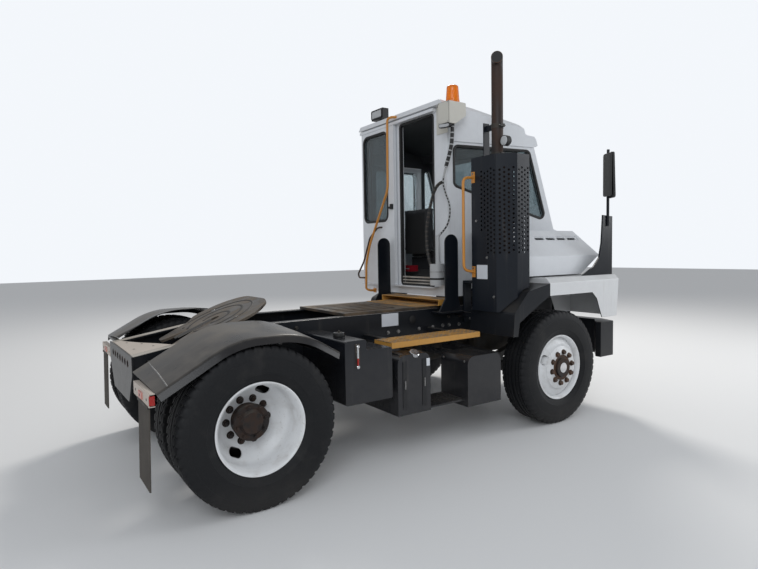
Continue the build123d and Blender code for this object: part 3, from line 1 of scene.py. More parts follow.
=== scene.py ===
# %% [markdown]
# # A terminal tractor, dressed from its solids
# The solids come finished and fixed from a CAD model, one object for each node, all in metres
# with +X ahead and +Y to the left. This lesson leaves their places alone. It gives them finishes,
# softens their edges, and adds the small things that CAD leaves out.

# %% Load the solids
import json
from math import acos, atan2, cos, hypot, pi, radians, sin

import bmesh
import bpy
from mathutils import Matrix, Vector

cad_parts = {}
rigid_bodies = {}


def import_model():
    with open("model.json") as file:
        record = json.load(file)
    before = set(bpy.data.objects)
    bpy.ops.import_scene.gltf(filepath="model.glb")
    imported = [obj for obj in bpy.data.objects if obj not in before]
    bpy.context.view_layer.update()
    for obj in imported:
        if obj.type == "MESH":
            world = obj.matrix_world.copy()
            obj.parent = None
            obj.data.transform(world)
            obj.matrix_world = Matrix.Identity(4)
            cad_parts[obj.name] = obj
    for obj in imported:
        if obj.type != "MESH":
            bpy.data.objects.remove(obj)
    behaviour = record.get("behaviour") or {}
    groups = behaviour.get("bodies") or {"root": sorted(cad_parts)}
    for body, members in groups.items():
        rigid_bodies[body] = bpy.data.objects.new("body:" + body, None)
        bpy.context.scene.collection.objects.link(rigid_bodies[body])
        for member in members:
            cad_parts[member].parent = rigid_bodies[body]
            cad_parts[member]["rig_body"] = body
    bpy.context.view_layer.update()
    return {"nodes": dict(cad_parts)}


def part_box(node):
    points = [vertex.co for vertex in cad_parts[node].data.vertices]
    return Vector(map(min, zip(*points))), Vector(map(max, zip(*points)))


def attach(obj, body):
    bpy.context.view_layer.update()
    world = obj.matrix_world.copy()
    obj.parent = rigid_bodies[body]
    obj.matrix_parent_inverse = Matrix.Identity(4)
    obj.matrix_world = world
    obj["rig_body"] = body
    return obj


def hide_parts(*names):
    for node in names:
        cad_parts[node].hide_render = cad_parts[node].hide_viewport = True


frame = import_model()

solids = frame["nodes"]

# %% [markdown]
# ## Main places
# Most pieces hang on a few numbers: the two axles, the cab's rear wall and the rails. They are
# named once here, so that a bolt or a lamp is placed from the part that carries it.

# %% Places along the tractor
REAR_AXLE = -1.599
FRONT_AXLE = 1.347
AXLE_HEIGHT = 0.527
CAB_REAR = 0.711
CAB_CORNER = -0.350
WALL_SLOPE = 0.19982
RAIL_SIDE = 0.432
HAND = ((1, "left"), (-1, "right"))


def wall_y(x):
    """The cab's right wall, which runs outward towards the front."""
    return CAB_CORNER - (x - CAB_REAR) * WALL_SLOPE


# %% [markdown]
# ## Small helpers
# Every piece is an object in the scene, some are read back with their modifiers applied, and the
# copies of solids start with their doubled corners joined. Each of these steps is written once.


# %% Objects, applied meshes and joined copies
def linked(name, data):
    """A new object in the scene's own collection."""
    made = bpy.data.objects.new(name, data)
    bpy.context.scene.collection.objects.link(made)
    return made


def applied(piece):
    """The piece's mesh as its modifiers leave it."""
    bpy.context.view_layer.update()
    return bpy.data.meshes.new_from_object(piece.evaluated_get(bpy.context.evaluated_depsgraph_get()))


def joined_copy(name):
    """A solid's faces with their doubled corners joined. The solid itself stays as it is."""
    work = bmesh.new()
    work.from_mesh(solids[name].data)
    bmesh.ops.remove_doubles(work, verts=work.verts, dist=2e-5)
    return work


# %% [markdown]
# ## Camera
# The photograph was taken from behind and to the right at eye height. Its lens and place were
# fitted to the rims and the rails beforehand, so the camera only repeats those numbers. Building
# the rotation from three directions avoids guessing at angles.

# %% Set the camera
SENSOR = 36
FOCAL_PIXELS, PICTURE_PIXELS = 549.367, 758
YAW, PITCH, ROLL = 0.972131, 0.0581826, -0.0174567
EYE = (-2.8924, -4.4200, 1.6221)
camera_data = bpy.data.cameras.new("camera")
camera_data.lens = FOCAL_PIXELS / PICTURE_PIXELS * SENSOR
camera_data.sensor_width = SENSOR
camera = linked("camera", camera_data)
ahead = Vector((cos(YAW) * cos(PITCH), sin(YAW) * cos(PITCH), -sin(PITCH)))
level = Vector((sin(YAW), -cos(YAW), 0))
upright = level.cross(ahead)
right = level * cos(ROLL) + upright * sin(ROLL)
upright = upright * cos(ROLL) - level * sin(ROLL)
rows = [(*row, place) for row, place in zip(zip(right, upright, -ahead), EYE)]
camera.matrix_world = Matrix((*rows, (0, 0, 0, 1)))
bpy.context.scene.camera = camera
print("lens", round(camera_data.lens, 2), "mm")

# %% [markdown]
# ## Shader maths
# Dust, streaks and wear are masks, and a mask is a sum or product of noises. Wiring Math nodes by
# hand hides that, so a small class wraps a node's output and lets Python's own signs add the
# nodes.


# %% A wrapped output
class Signal:
    """A node's output that can be added, multiplied and stepped."""

    def __init__(self, finish, socket):
        self.finish = finish
        self.socket = socket

    def sum_up(self, operation, first, second):
        return self.finish.node("ShaderNodeMath", {"operation": operation}, {0: first, 1: second})

    def __add__(self, other):
        return self.sum_up("ADD", self, other)

    def __rsub__(self, other):
        return self.sum_up("SUBTRACT", other, self)

    def __mul__(self, other):
        return self.sum_up("MULTIPLY", self, other)

    def capped(self):
        return self.finish.node("ShaderNodeClamp", {}, {"Value": self})

    def step(self, low, high):
        """0 below low, 1 above high, and smooth between."""
        sockets = {"Value": self, "From Min": low, "From Max": high}
        return self.finish.node("ShaderNodeMapRange", {"interpolation_type": "SMOOTHSTEP"}, sockets)


# %% [markdown]
# ## A finish in the making
# Every material here starts as one Principled shader. One method makes any other node: it takes
# the node's type, its settings, and what its sockets get. Places come from each object's own
# coordinates, which ride along when a door opens or the cab tilts.


# %% Materials from one method
class Finish:
    """A material, with its place, height and upward facing ready as signals."""

    def __init__(self, name, **constants):
        self.material = bpy.data.materials.new(name)
        self.material.use_nodes = True
        self.tree = self.material.node_tree
        self.shader = self.tree.nodes["Principled BSDF"]
        for socket, value in constants.items():
            self.feed(socket.replace("_", " "), value)
        self.place = self.node("ShaderNodeTexCoord", {}, {}, "Object")
        self.height = self.node("ShaderNodeSeparateXYZ", {}, {0: self.place}, "Z")
        facing = self.node("ShaderNodeTexCoord", {}, {}, "Normal")
        self.up = self.node("ShaderNodeSeparateXYZ", {}, {0: facing}, "Z")

    def node(self, kind, settings, sockets, output=0):
        made = self.tree.nodes.new(kind)
        for name, value in settings.items():
            setattr(made, name, value)
        for name, value in sockets.items():
            self.plug(made.inputs[name], value)
        return Signal(self, made.outputs[output])

    def plug(self, socket, value):
        if isinstance(value, Signal):
            self.tree.links.new(value.socket, socket)
        elif isinstance(value, tuple) and len(value) == 3 and len(socket.default_value) == 4:
            socket.default_value = (*value, 1)
        else:
            socket.default_value = value

    def feed(self, socket, value):
        self.plug(self.shader.inputs[socket], value)

    def noise(self, scale, detail=3, stretch=(1, 1, 1)):
        place = self.node("ShaderNodeVectorMath", {"operation": "MULTIPLY"}, {0: self.place, 1: stretch})
        sockets = {"Vector": place, "Scale": scale, "Detail": detail, "Roughness": 0.55}
        return self.node("ShaderNodeTexNoise", {}, sockets, "Fac")

    def wave(self, way, scale):
        sockets = {"Vector": self.place, "Scale": scale}
        return self.node("ShaderNodeTexWave", {"bands_direction": way}, sockets, "Fac")

    def blend(self, share, first, second):
        return self.node("ShaderNodeMix", {"data_type": "RGBA"}, {0: share, 6: first, 7: second}, 2)

    def bump(self, height, depth, strength):
        sockets = {"Height": height, "Distance": depth, "Strength": strength}
        self.feed("Normal", self.node("ShaderNodeBump", {}, sockets))


# %% [markdown]
# ## Paint that has worked outdoors
# Yard machines are dusty, not dirty all over. Dust settles where a face looks up, splashes climb
# from the ground, and rain draws thin runs down upright faces. The same recipe serves every
# paint on the machine, with its own colour, gloss and share of each kind of dirt. Dark paints
# shine less, so that they stay black in the soft light.


# %% Weathered paint
DUST = (0.36, 0.32, 0.27)


def paint(name, colour, gloss, settled=0.4, splash=0.3, runs=0.2, chips=0.0, under=(0.1, 0.06, 0.04), coat=0.0):
    shine = 0.5 if max(colour) > 0.1 else 0.3
    finish = Finish(name, Coat_Weight=coat, Coat_Roughness=0.12, Specular_IOR_Level=shine)
    patches = finish.noise(2.6, 5)
    cloud = finish.noise(14, 4)
    fell = finish.up.step(0.35, 0.95) * (patches.step(0.32, 0.68) * 0.65 + cloud * 0.35)
    thrown = (1 - finish.height.step(0.35, 1.25)) * (patches * 0.5 + cloud * 0.5)
    upright_face = 1 - finish.up.step(0.3, 0.8)
    run = finish.noise(26, 3, (1, 1, 0.05)).step(0.56, 0.78) * patches.step(0.4, 0.7) * upright_face
    dirt = (fell * settled + thrown * splash + run * runs).capped()
    speck = finish.noise(190, 2).step(0.70, 0.74) * cloud.step(0.5, 0.62) * chips
    tone = finish.blend(cloud, tuple(c * 0.93 for c in colour), tuple(min(1, c * 1.04) for c in colour))
    tone = finish.blend(speck, tone, under)
    finish.feed("Base Color", finish.blend(dirt, tone, DUST))
    finish.feed("Roughness", dirt * (0.85 - gloss) + cloud * 0.08 + (gloss - 0.04))
    finish.bump(finish.noise(420, 2) * 0.5 + cloud * 0.5, 0.0006, 0.35)
    return finish.material


white_cab = paint("white_cab", (0.74, 0.76, 0.79), 0.30, 0.32, 0.34, 0.26, 0.8, (0.30, 0.22, 0.16), 0.25)
white_fender = paint("white_fender", (0.74, 0.75, 0.76), 0.34, 0.45, 0.50, 0.30, 0.9, (0.18, 0.13, 0.10), 0.2)
black_frame = paint("black_frame", (0.006, 0.008, 0.012), 0.30, 0.20, 0.10, 0.08, 0.5)
black_fender = paint("black_fender", (0.012, 0.012, 0.014), 0.22, 0.42, 0.08, 0.05)
black_tank = paint("black_tank", (0.007, 0.009, 0.014), 0.18, 0.10, 0.10, 0.07, 0.2, (0.08, 0.06, 0.05), 0.2)
black_guard = paint("black_guard", (0.007, 0.010, 0.016), 0.32, 0.12, 0.08, 0.14, 0.4)
rail_orange = paint("rail_orange", (0.62, 0.26, 0.045), 0.42, 0.30, 0.10, 0.30, 1.0)
beige_box = paint("beige_box", (0.62, 0.60, 0.54), 0.48, 0.30, 0.10, 0.35, 0.4)
pale_can = paint("pale_can", (0.50, 0.51, 0.52), 0.34, 0.40, 0.20, 0.30, 0.5)
blank_plate = paint("blank_plate", (0.70, 0.73, 0.78), 0.30, 0.20, 0.20, 0.20, 0.3)
pale_bar = paint("pale_bar", (0.56, 0.49, 0.43), 0.50, 0.40, 0.30, 0.40, 1.0)
red_case = paint("red_case", (0.28, 0.01, 0.02), 0.35, 0.10, 0.05, 0.05)
print("paints", len(bpy.data.materials))

# %% [markdown]
# ## Worn treads and wheels
# The treads carry ochre safety paint that boots have polished through. On top, steel and dirt show in broken patches;
# the front faces keep their colour. The discs are white in front, and near black behind, which is painted shade in the
# dish.


# %% Tread and wheel paint
def tread_paint():
    finish = Finish("tread_ochre")
    wear = finish.noise(9, 6).step(0.36, 0.60)
    fine = finish.noise(70, 3)
    trodden = finish.up.step(0.5, 0.95) * (wear * 0.8 + fine * 0.2)
    ochre = finish.blend(fine, (0.50, 0.245, 0.045), (0.60, 0.31, 0.07))
    worn = finish.blend(fine.step(0.4, 0.6), (0.16, 0.11, 0.07), (0.27, 0.21, 0.15))
    streak = finish.noise(30, 3, (1, 1, 0.08)).step(0.55, 0.75) * 0.35
    tone = finish.blend(streak, ochre, (0.24, 0.13, 0.06))
    finish.feed("Base Color", finish.blend(trodden, tone, worn))
    finish.feed("Roughness", trodden * 0.25 + 0.5)
    finish.bump(fine + wear * 0.4, 0.0012, 0.5)
    return finish.material


tread_ochre = tread_paint()


def wheel_paint(name, deep):
    """White disc paint, with painted shade, near black, on all that lies behind the disc face."""
    finish = Finish(name, Coat_Weight=0.15, Coat_Roughness=0.2)
    side = finish.node("ShaderNodeSeparateXYZ", {}, {0: finish.place}, "Y")
    from_middle = finish.node("ShaderNodeMath", {"operation": "ABSOLUTE"}, {0: side})
    # Painted shade: all that lies behind the disc face turns near black.
    behind = 1 - from_middle.step(deep - 0.03, deep)
    cloud = finish.noise(9, 5)
    dirt = (cloud.step(0.45, 0.8) * 0.35 + finish.noise(60, 4).step(0.60, 0.74) * 0.3).capped()
    tone = finish.blend(dirt, (0.76, 0.77, 0.78), (0.30, 0.26, 0.22))
    finish.feed("Base Color", finish.blend(behind, tone, (0.020, 0.017, 0.015)))
    finish.feed("Roughness", dirt * 0.3 + 0.38)
    finish.bump(cloud, 0.0006, 0.3)
    return finish.material


rear_wheel_white = wheel_paint("rear_wheel_white", 0.915)
front_wheel_white = wheel_paint("front_wheel_white", 1.110)

# %% [markdown]
# ## Bare and greasy metals
# The coupler is smeared with grease that has caught dust, the stack is heat-browned, the tail's
# wear plates are scuffed bright and dusted tan. Each is a metal whose colour and roughness move
# between two states by one broken mask.


# %% Metals with two states
def metal(name, first, second, rough, scale, stretch=(1, 1, 1), metallic=0.8, dust=0.3, depth=0.001):
    finish = Finish(name, Metallic=metallic)
    mask = finish.noise(scale, 6, stretch).step(0.38, 0.62)
    grain = finish.noise(scale * 18, 2)
    fell = finish.up.step(0.4, 0.95) * finish.noise(4, 4).step(0.4, 0.7) * dust
    tone = finish.blend((mask * 0.8 + grain * 0.2).capped(), first, second)
    finish.feed("Base Color", finish.blend(fell, tone, DUST))
    finish.feed("Roughness", mask * (rough[1] - rough[0]) + fell * 0.3 + rough[0])
    finish.bump(mask * 0.6 + grain * 0.4, depth, 0.5)
    return finish.material


greasy_steel = metal("greasy_steel", (0.050, 0.042, 0.036), (0.15, 0.120, 0.092), (0.28, 0.62), 7, metallic=0.4)
dark_hub = metal("dark_hub", (0.012, 0.010, 0.010), (0.048, 0.028, 0.020), (0.4, 0.75), 20, metallic=0.3)
browned_steel = metal("browned_steel", (0.010, 0.010, 0.011), (0.060, 0.032, 0.022), (0.42, 0.75), 5,
                      (1, 1, 0.4), 0.2, 0.1)
rusty_hub = metal("rusty_hub", (0.040, 0.025, 0.018), (0.115, 0.062, 0.038), (0.5, 0.8), 22, metallic=0.3)
wear_plate = metal("wear_plate", (0.33, 0.29, 0.24), (0.50, 0.47, 0.43), (0.45, 0.7), 9, (0.4, 1, 1), 0.35, 0.5)
dirty_deck = metal("dirty_deck", (0.030, 0.026, 0.023), (0.16, 0.115, 0.075), (0.5, 0.75), 5,
                   metallic=0.3, dust=0.45)
cast_iron = metal("cast_iron", (0.022, 0.021, 0.020), (0.070, 0.058, 0.048), (0.5, 0.75), 12, metallic=0.3)
bolt_steel = metal("bolt_steel", (0.20, 0.20, 0.20), (0.42, 0.41, 0.40), (0.3, 0.5), 60,
                   metallic=0.9, dust=0.2, depth=0.0003)
bright_chrome = metal("bright_chrome", (0.55, 0.56, 0.58), (0.70, 0.70, 0.71), (0.08, 0.2), 30,
                      metallic=1.0, dust=0.15, depth=0.0002)

# %% [markdown]
# ## Rubber, plastic and cloth
# Tyres are black only in a showroom: here stone dust greys the tread and the sidewall's high
# places. Moulded plastic has a fine grain, and seat cloth shows its weave close up.


# %% Soft and moulded finishes
def tyre_rubber():
    finish = Finish("tyre_rubber", Specular_IOR_Level=0.25)
    cloud = finish.noise(6, 5)
    fine = finish.noise(90, 3)
    dust = (cloud.step(0.5, 0.85) * 0.10 + fine * 0.06 + (1 - finish.height.step(0.0, 0.3)) * 0.10).capped()
    finish.feed("Base Color", finish.blend(dust, (0.005, 0.006, 0.008), (0.16, 0.145, 0.130)))
    finish.feed("Roughness", dust * 0.3 + 0.58)
    finish.bump(fine, 0.0008, 0.4)
    return finish.material


def moulded(name, colour, rough, dust=0.1, grain=900):
    finish = Finish(name)
    cloud = finish.noise(10, 4)
    film = (finish.up.step(0.3, 0.9) * dust + cloud * dust * 0.4).capped()
    finish.feed("Base Color", finish.blend(film, colour, DUST))
    finish.feed("Roughness", cloud * 0.1 + film * 0.2 + rough)
    finish.bump(finish.noise(grain, 2), 0.0004, 0.3)
    return finish.material


def woven(name, dark, light):
    finish = Finish(name, Sheen_Weight=0.3)
    weave = finish.wave("X", 150.0) * 0.5 + finish.wave("Y", 150.0) * 0.5
    finish.feed("Base Color", finish.blend((weave * 0.6 + finish.noise(12, 4) * 0.4).capped(), dark, light))
    finish.feed("Roughness", weave * 0.1 + 0.8)
    finish.bump(weave, 0.0008, 0.5)
    return finish.material


tyre_black = tyre_rubber()
flap_rubber = moulded("flap_rubber", (0.028, 0.023, 0.019), 0.62, 0.5, 300)
seal_rubber = moulded("seal_rubber", (0.008, 0.008, 0.009), 0.55, 0.06)
trim_plastic = moulded("trim_plastic", (0.022, 0.023, 0.025), 0.52, 0.12)
hose_rubber = moulded("hose_rubber", (0.010, 0.010, 0.011), 0.46, 0.10)
wrap_pale = moulded("wrap_pale", (0.42, 0.43, 0.44), 0.45, 0.25)
seat_cloth = woven("seat_cloth", (0.010, 0.011, 0.013), (0.036, 0.038, 0.044))
# Near black for the cab's inside, the interior solid included: painted shade.
cab_lining = moulded("cab_lining", (0.030, 0.032, 0.037), 0.6, 0.06)

# %% [markdown]
# ## Glass and lamps
# Real panes have thickness, so they are clear shaders on solid glass, a little smoky. Lamp lenses
# are the same shader in amber, red or white, over ribs that break up the light.


# %% Clear finishes
def clear(name, colour, rough, share, dust=0.1, ribs=0.0):
    finish = Finish(name, Transmission_Weight=share, IOR=1.48)
    film = (finish.noise(5, 5).step(0.45, 0.8) * dust).capped()
    finish.feed("Base Color", finish.blend(film, colour, DUST))
    finish.feed("Roughness", film * 0.5 + rough)
    if ribs:
        finish.bump(finish.wave("Y", ribs), 0.001, 0.4)
    return finish.material


window_glass = clear("window_glass", (0.36, 0.42, 0.44), 0.02, 0.92, 0.10)
amber_lens = clear("amber_lens", (1.0, 0.24, 0.005), 0.18, 0.25, 0.05, 60)
red_lens = clear("red_lens", (0.50, 0.015, 0.01), 0.16, 0.3, 0.15, 90)
white_lens = clear("white_lens", (0.82, 0.84, 0.86), 0.12, 0.4, 0.1, 70)
pink_lens = clear("pink_lens", (0.72, 0.30, 0.26), 0.25, 0.15, 0.3, 60)
print("finishes", len(bpy.data.materials))

# %% [markdown]
# ## Finishes for the solids
# Each solid gets the finish that its part has. Some are later hidden behind a more detailed piece,
# but every one is dressed, so nothing shows bare if a piece is left out.

# %% Assign them
dress = {
    white_cab: "cab_shell roof_cap hood rear_door side_door",
    rear_wheel_white: "rear_rims_left rear_rims_right",
    front_wheel_white: "front_rim_left front_rim_right",
    white_fender: "front_fenders",
    black_frame: "frame front_axle bumper front_grille lift_barrels cab_guides mirror_post wheel_guards air_tanks",
    black_fender: "rear_fenders",
    black_tank: "hydraulic_tank fuel_tank step_lockers",
    black_guard: "exhaust_guard",
    rail_orange: "guard_rail cab_rails",
    tread_ochre: "steps",
    beige_box: "roof_box",
    pale_can: "canister",
    pale_bar: "tail_lamps",
    greasy_steel: "fifth_wheel boom",
    browned_steel: "exhaust_stack",
    wear_plate: "tail_ramps",
    dirty_deck: "deck_grating",
    cast_iron: "radiator engine rear_axle knuckle_left knuckle_right",
    bright_chrome: "lift_rods",
    tyre_black: "rear_tyres_left rear_tyres_right front_tyre_left front_tyre_right",
    flap_rubber: "mud_flaps",
    trim_plastic: "mirror_head steering_wheel work_lamp stack_lamp",
    cab_lining: "cab_interior",
    hose_rubber: "air_hose",
    seat_cloth: "seat",
    window_glass: "cab_glass rear_door_glass side_door_glass",
    amber_lens: "beacon",
    white_lens: "headlamps",
}
for finish, names in dress.items():
    for name in names.split():
        solids[name].data.materials.clear()
        solids[name].data.materials.append(finish)
undressed = sorted(set(solids) - {name for names in dress.values() for name in names.split()})
print("solids without a finish:", undressed)

# %% [markdown]
# ## Soft edges
# Folded sheet and cast corners catch a thin line of light, which a sharp CAD edge can't. Each large
# solid is copied, its facets are merged back into flat faces, and every real corner gets a small
# round. The copy stands in for the solid and rides on the same body.


# %% A softened copy
def soften(name, width):
    solid = solids[name]
    mesh = bpy.data.meshes.new(name + ".soft")
    work = joined_copy(name)
    bmesh.ops.dissolve_limit(work, angle_limit=radians(1), verts=work.verts, edges=work.edges)
    sharp = [e for e in work.edges if len(e.link_faces) == 2 and e.calc_face_angle(0) > radians(28)]
    bmesh.ops.bevel(work, geom=sharp, offset=width, segments=2, profile=0.6, affect="EDGES", clamp_overlap=True)
    for face in work.faces:
        face.smooth = True
    work.to_mesh(mesh)
    work.free()
    mesh.set_sharp_from_angle(angle=radians(40))
    mesh.materials.append(solid.data.materials[0])
    piece = linked(name + ".soft", mesh)
    weighted = piece.modifiers.new("weighted", "WEIGHTED_NORMAL")
    weighted.keep_sharp = True
    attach(piece, solid["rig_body"])
    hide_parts(name)
    return piece


softened = {
    0.003: "frame bumper cab_guides step_lockers fuel_tank hydraulic_tank front_fenders roof_cap hood cab_shell",
    0.002: "rear_door side_door roof_box wheel_guards tail_ramps deck_grating fifth_wheel boom mirror_head",
    0.0015: "mirror_post canister",
}
soft = {}
for width, names in softened.items():
    for name in names.split():
        soft[name] = soften(name, width)
print("softened", len(soft), "of", len(solids))

# %% [markdown]
# ## Inner faces
# A cab is white outside and near black inside, and a fender's underside is black: both darks are painted shade. The
# same sheet carries both, so the inner faces get a second finish.


# %% Line the inside
def line(name, finish, inside):
    piece = soft[name]
    piece.data.materials.append(finish)
    inner = [face for face in piece.data.polygons if inside(face.center, face.normal)]
    for face in inner:
        face.material_index = 1
    print(name, len(inner), "inner faces")


CAB_MIDDLE = Vector((1.25, 0.40, 2.10))
SHEET = 0.030


def in_cab(spot, facing):
    across = wall_y(spot.x) + SHEET < spot.y < 1.100
    within = CAB_REAR + SHEET < spot.x < 2.0 and across and 1.190 < spot.z < 3.070
    return within and facing.dot(spot - CAB_MIDDLE) < 0


# Faces under and inside a front fender, which get painted shade.
def under_fender(spot, facing):
    inboard = abs(spot.y) < 1.175 and facing.y * spot.y < -0.5
    return facing.z < -0.3 or inboard or (1.22 < spot.x < 2.24 and spot.z < 1.21 and abs(facing.x) > 0.5)


# The cab's inner faces get the near-black lining as painted shade.
line("cab_shell", cab_lining, in_cab)
line("roof_cap", cab_lining, in_cab)
# The fenders' undersides and arch walls get black paint as painted shade.
line("front_fenders", black_frame, under_fender)

# %% [markdown]
# ## A tool for small parts
# Bolts, lamps, seals and brackets are a few shapes repeated: blocks, turned forms, bent bars and
# rings. One class gathers such shapes into a mesh, so a whole group of bolts is a single object
# with few cells of code.


# %% Gathering shapes
class Shape:
    """Geometry for one piece, with a finish for each part of it."""

    def __init__(self, name):
        self.name = name
        self.work = bmesh.new()
        self.finishes = []

    def part(self, points, faces, finish, smooth=False):
        if finish not in self.finishes:
            self.finishes.append(finish)
        slot = self.finishes.index(finish)
        verts = [self.work.verts.new(point) for point in points]
        for corners in faces:
            face = self.work.faces.new([verts[i] for i in corners])
            face.material_index = slot
            face.smooth = smooth
        return verts

    def rounded(self, verts, width):
        edges = {e for v in verts for e in v.link_edges if e.calc_face_angle(0) > 0.5}
        bmesh.ops.bevel(self.work, geom=list(edges), offset=width, segments=2, affect="EDGES", clamp_overlap=True)

    def block(self, one, other, finish, edge=0.002):
        """A block between two opposite corners, given in any order."""
        across, deep, tall = (sorted(pair) for pair in zip(one, other))
        corners = [(x, y, z) for x in across for y in deep for z in tall]
        faces = [(0, 1, 3, 2), (4, 6, 7, 5), (0, 4, 5, 1), (2, 3, 7, 6), (0, 2, 6, 4), (1, 5, 7, 3)]
        verts = self.part(corners, faces, finish)
        if edge:
            self.rounded(verts, edge)

    def plate(self, outline, place, finish, edge=0.0):
        """An outline of (u, v) pairs with a thickness: place(u, v, side) gives the point."""
        count = len(outline)
        points = [place(u, v, side) for side in (0, 1) for u, v in outline]
        faces = [tuple(reversed(range(count))), tuple(range(count, 2 * count))]
        faces += [(i, (i + 1) % count, count + (i + 1) % count, count + i) for i in range(count)]
        verts = self.part(points, faces, finish)
        if edge:
            self.rounded(verts, edge)

    def turned(self, foot, way, profile, finish, steps=24, smooth=True):
        """A turned form: the profile lists how far along the axis and how far from it."""
        way = Vector(way).normalized()
        side = way.orthogonal().normalized()
        other = way.cross(side)
        points, rings, faces = [], [], []
        for along, radius in profile:
            ring = []
            for step in range(steps if radius else 1):
                turn = 2 * pi * step / steps
                ring.append(len(points))
                points.append(Vector(foot) + way * along + (side * cos(turn) + other * sin(turn)) * radius)
            rings.append(ring)
        for low, high in zip(rings, rings[1:]):
            for step in range(steps):
                a, b = low[step % len(low)], low[(step + 1) % len(low)]
                c, d = high[(step + 1) % len(high)], high[step % len(high)]
                faces.append([i for i, j in zip((a, b, c, d), (b, c, d, a)) if i != j])
        self.part(points, faces, finish, smooth)

    def bar(self, points, radius, finish, steps=10):
        """A round bar along points, with its ends closed."""
        points = [Vector(p) for p in points]
        count = len(points)
        side = None
        rings = []
        for i, point in enumerate(points):
            way = (points[min(i + 1, count - 1)] - points[max(i - 1, 0)]).normalized()
            side = (way.orthogonal() if side is None else side - way * side.dot(way)).normalized()
            other = way.cross(side)
            turns = [2 * pi * step / steps for step in range(steps)]
            rings.append([point + (side * cos(t) + other * sin(t)) * radius for t in turns])
        flat = [p for ring in rings for p in ring]
        faces = [tuple(reversed(range(steps))), tuple(range((count - 1) * steps, count * steps))]
        for low in range(0, (count - 1) * steps, steps):
            high = low + steps
            turns = [(step, (step + 1) % steps) for step in range(steps)]
            faces += [(low + a, low + b, high + b, high + a) for a, b in turns]
        self.part(flat, faces, finish, True)

    def seal(self, points, normal, profile, finish):
        """A section drawn round a closed loop: profile gives (outward, off the face) pairs."""
        points = [Vector(p) for p in points]
        normal = Vector(normal).normalized()
        count, size = len(points), len(profile)
        flat = []
        for i, point in enumerate(points):
            way = (points[(i + 1) % count] - points[i - 1]).normalized()
            out = way.cross(normal)
            flat += [point + out * away + normal * off for away, off in profile]
        faces = []
        for i in range(count):
            j = (i + 1) % count
            for k in range(size):
                m = (k + 1) % size
                faces.append((i * size + k, j * size + k, j * size + m, i * size + m))
        self.part(flat, faces, finish, True)

    def bolt(self, point, way, across, finish, stud=0.0):
        """A hexagon head on a washer, with its stud's end showing if it is a nut."""
        tall, foot, washer, corner = across * 0.62, across * 0.1, across * 0.72, across * 0.577
        self.turned(point, way, [(0, 0), (0, washer), (foot, washer), (foot, 0)], finish, 16)
        head = [(foot, 0), (foot, corner), (tall * 0.86, corner), (tall, across * 0.5), (tall, 0)]
        self.turned(point, way, head, finish, 6, False)
        if stud:
            self.turned(point, way, [(tall * 0.9, stud), (tall + stud, stud), (tall + stud * 1.3, 0)], finish, 10)

    def mesh(self):
        """All that was gathered, as one mesh with its finishes."""
        mesh = bpy.data.meshes.new(self.name)
        bmesh.ops.recalc_face_normals(self.work, faces=self.work.faces)
        self.work.to_mesh(mesh)
        self.work.free()
        for finish in self.finishes:
            mesh.materials.append(finish)
        return mesh

    def done(self, body, *hidden, sharp=35):
        """The finished piece, riding on a body and in place of the hidden solids."""
        mesh = self.mesh()
        mesh.set_sharp_from_angle(angle=radians(sharp))
        piece = linked(self.name, mesh)
        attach(piece, body)
        if hidden:
            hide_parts(*hidden)
        print(self.name, len(mesh.polygons), "faces")
        return piece


def round_corners(outline, radius, steps=5):
    """An outline of (u, v) pairs with each corner turned into an arc."""
    rounded = []
    for i, corner in enumerate(outline):
        here = Vector(corner)
        come = (Vector(outline[i - 1]) - here).normalized()
        go = (Vector(outline[(i + 1) % len(outline)]) - here).normalized()
        half = acos(max(-1, min(1, come.dot(go)))) / 2
        back = radius / max(0.05, abs(sin(half) / cos(half)))
        start, end = here + come * back, here + go * back
        middle = here + (come + go).normalized() * (radius / sin(half))
        first, last = start - middle, end - middle
        for step in range(steps + 1):
            share = step / steps
            arm = (first * (1 - share) + last * share).normalized() * radius
            rounded.append(tuple(middle + arm))
    return rounded


# %% [markdown]
# ## Tyres
# A tread could be a bump, but at this size its grooves break the outline, so it is modelled. The
# profile is turned in steps of uneven length, and the outer ribs drop between two close steps,
# which cuts a narrow slot at each of 54 pitches. The far shoulder's slots are half a pitch on.


# %% Tread and sidewall
PITCHES = 54
TURNS = (0.0, 0.60, 0.68, 0.80)
TYRE_MIDDLES = {"rear": (0.755, 1.081), "front": (1.058,)}


def tyre_profile(slot):
    """Half of a tyre's section from bead to middle: (distance from the middle, radius)."""
    shoulder = 0.514 if slot else 0.5235
    rib = 0.519 if slot else 0.526
    side = [(0.1055, 0.2865), (0.112, 0.3065), (0.118, 0.314), (0.127, 0.331), (0.1335, 0.352),
            (0.1345, 0.3535), (0.1365, 0.3545), (0.1385, 0.374), (0.1395, 0.398), (0.1392, 0.425),
            (0.1365, 0.452), (0.1375, 0.4535), (0.1345, 0.471), (0.1295, 0.489)]
    tread = [(0.1225, shoulder - 0.012), (0.112, shoulder), (0.083, rib), (0.0815, 0.512),
             (0.0725, 0.512), (0.071, rib), (0.047, rib + 0.0006), (0.0455, 0.5135), (0.0375, 0.5135),
             (0.036, 0.5268), (0.0125, 0.527), (0.011, 0.514), (0.0, 0.514)]
    return side + tread


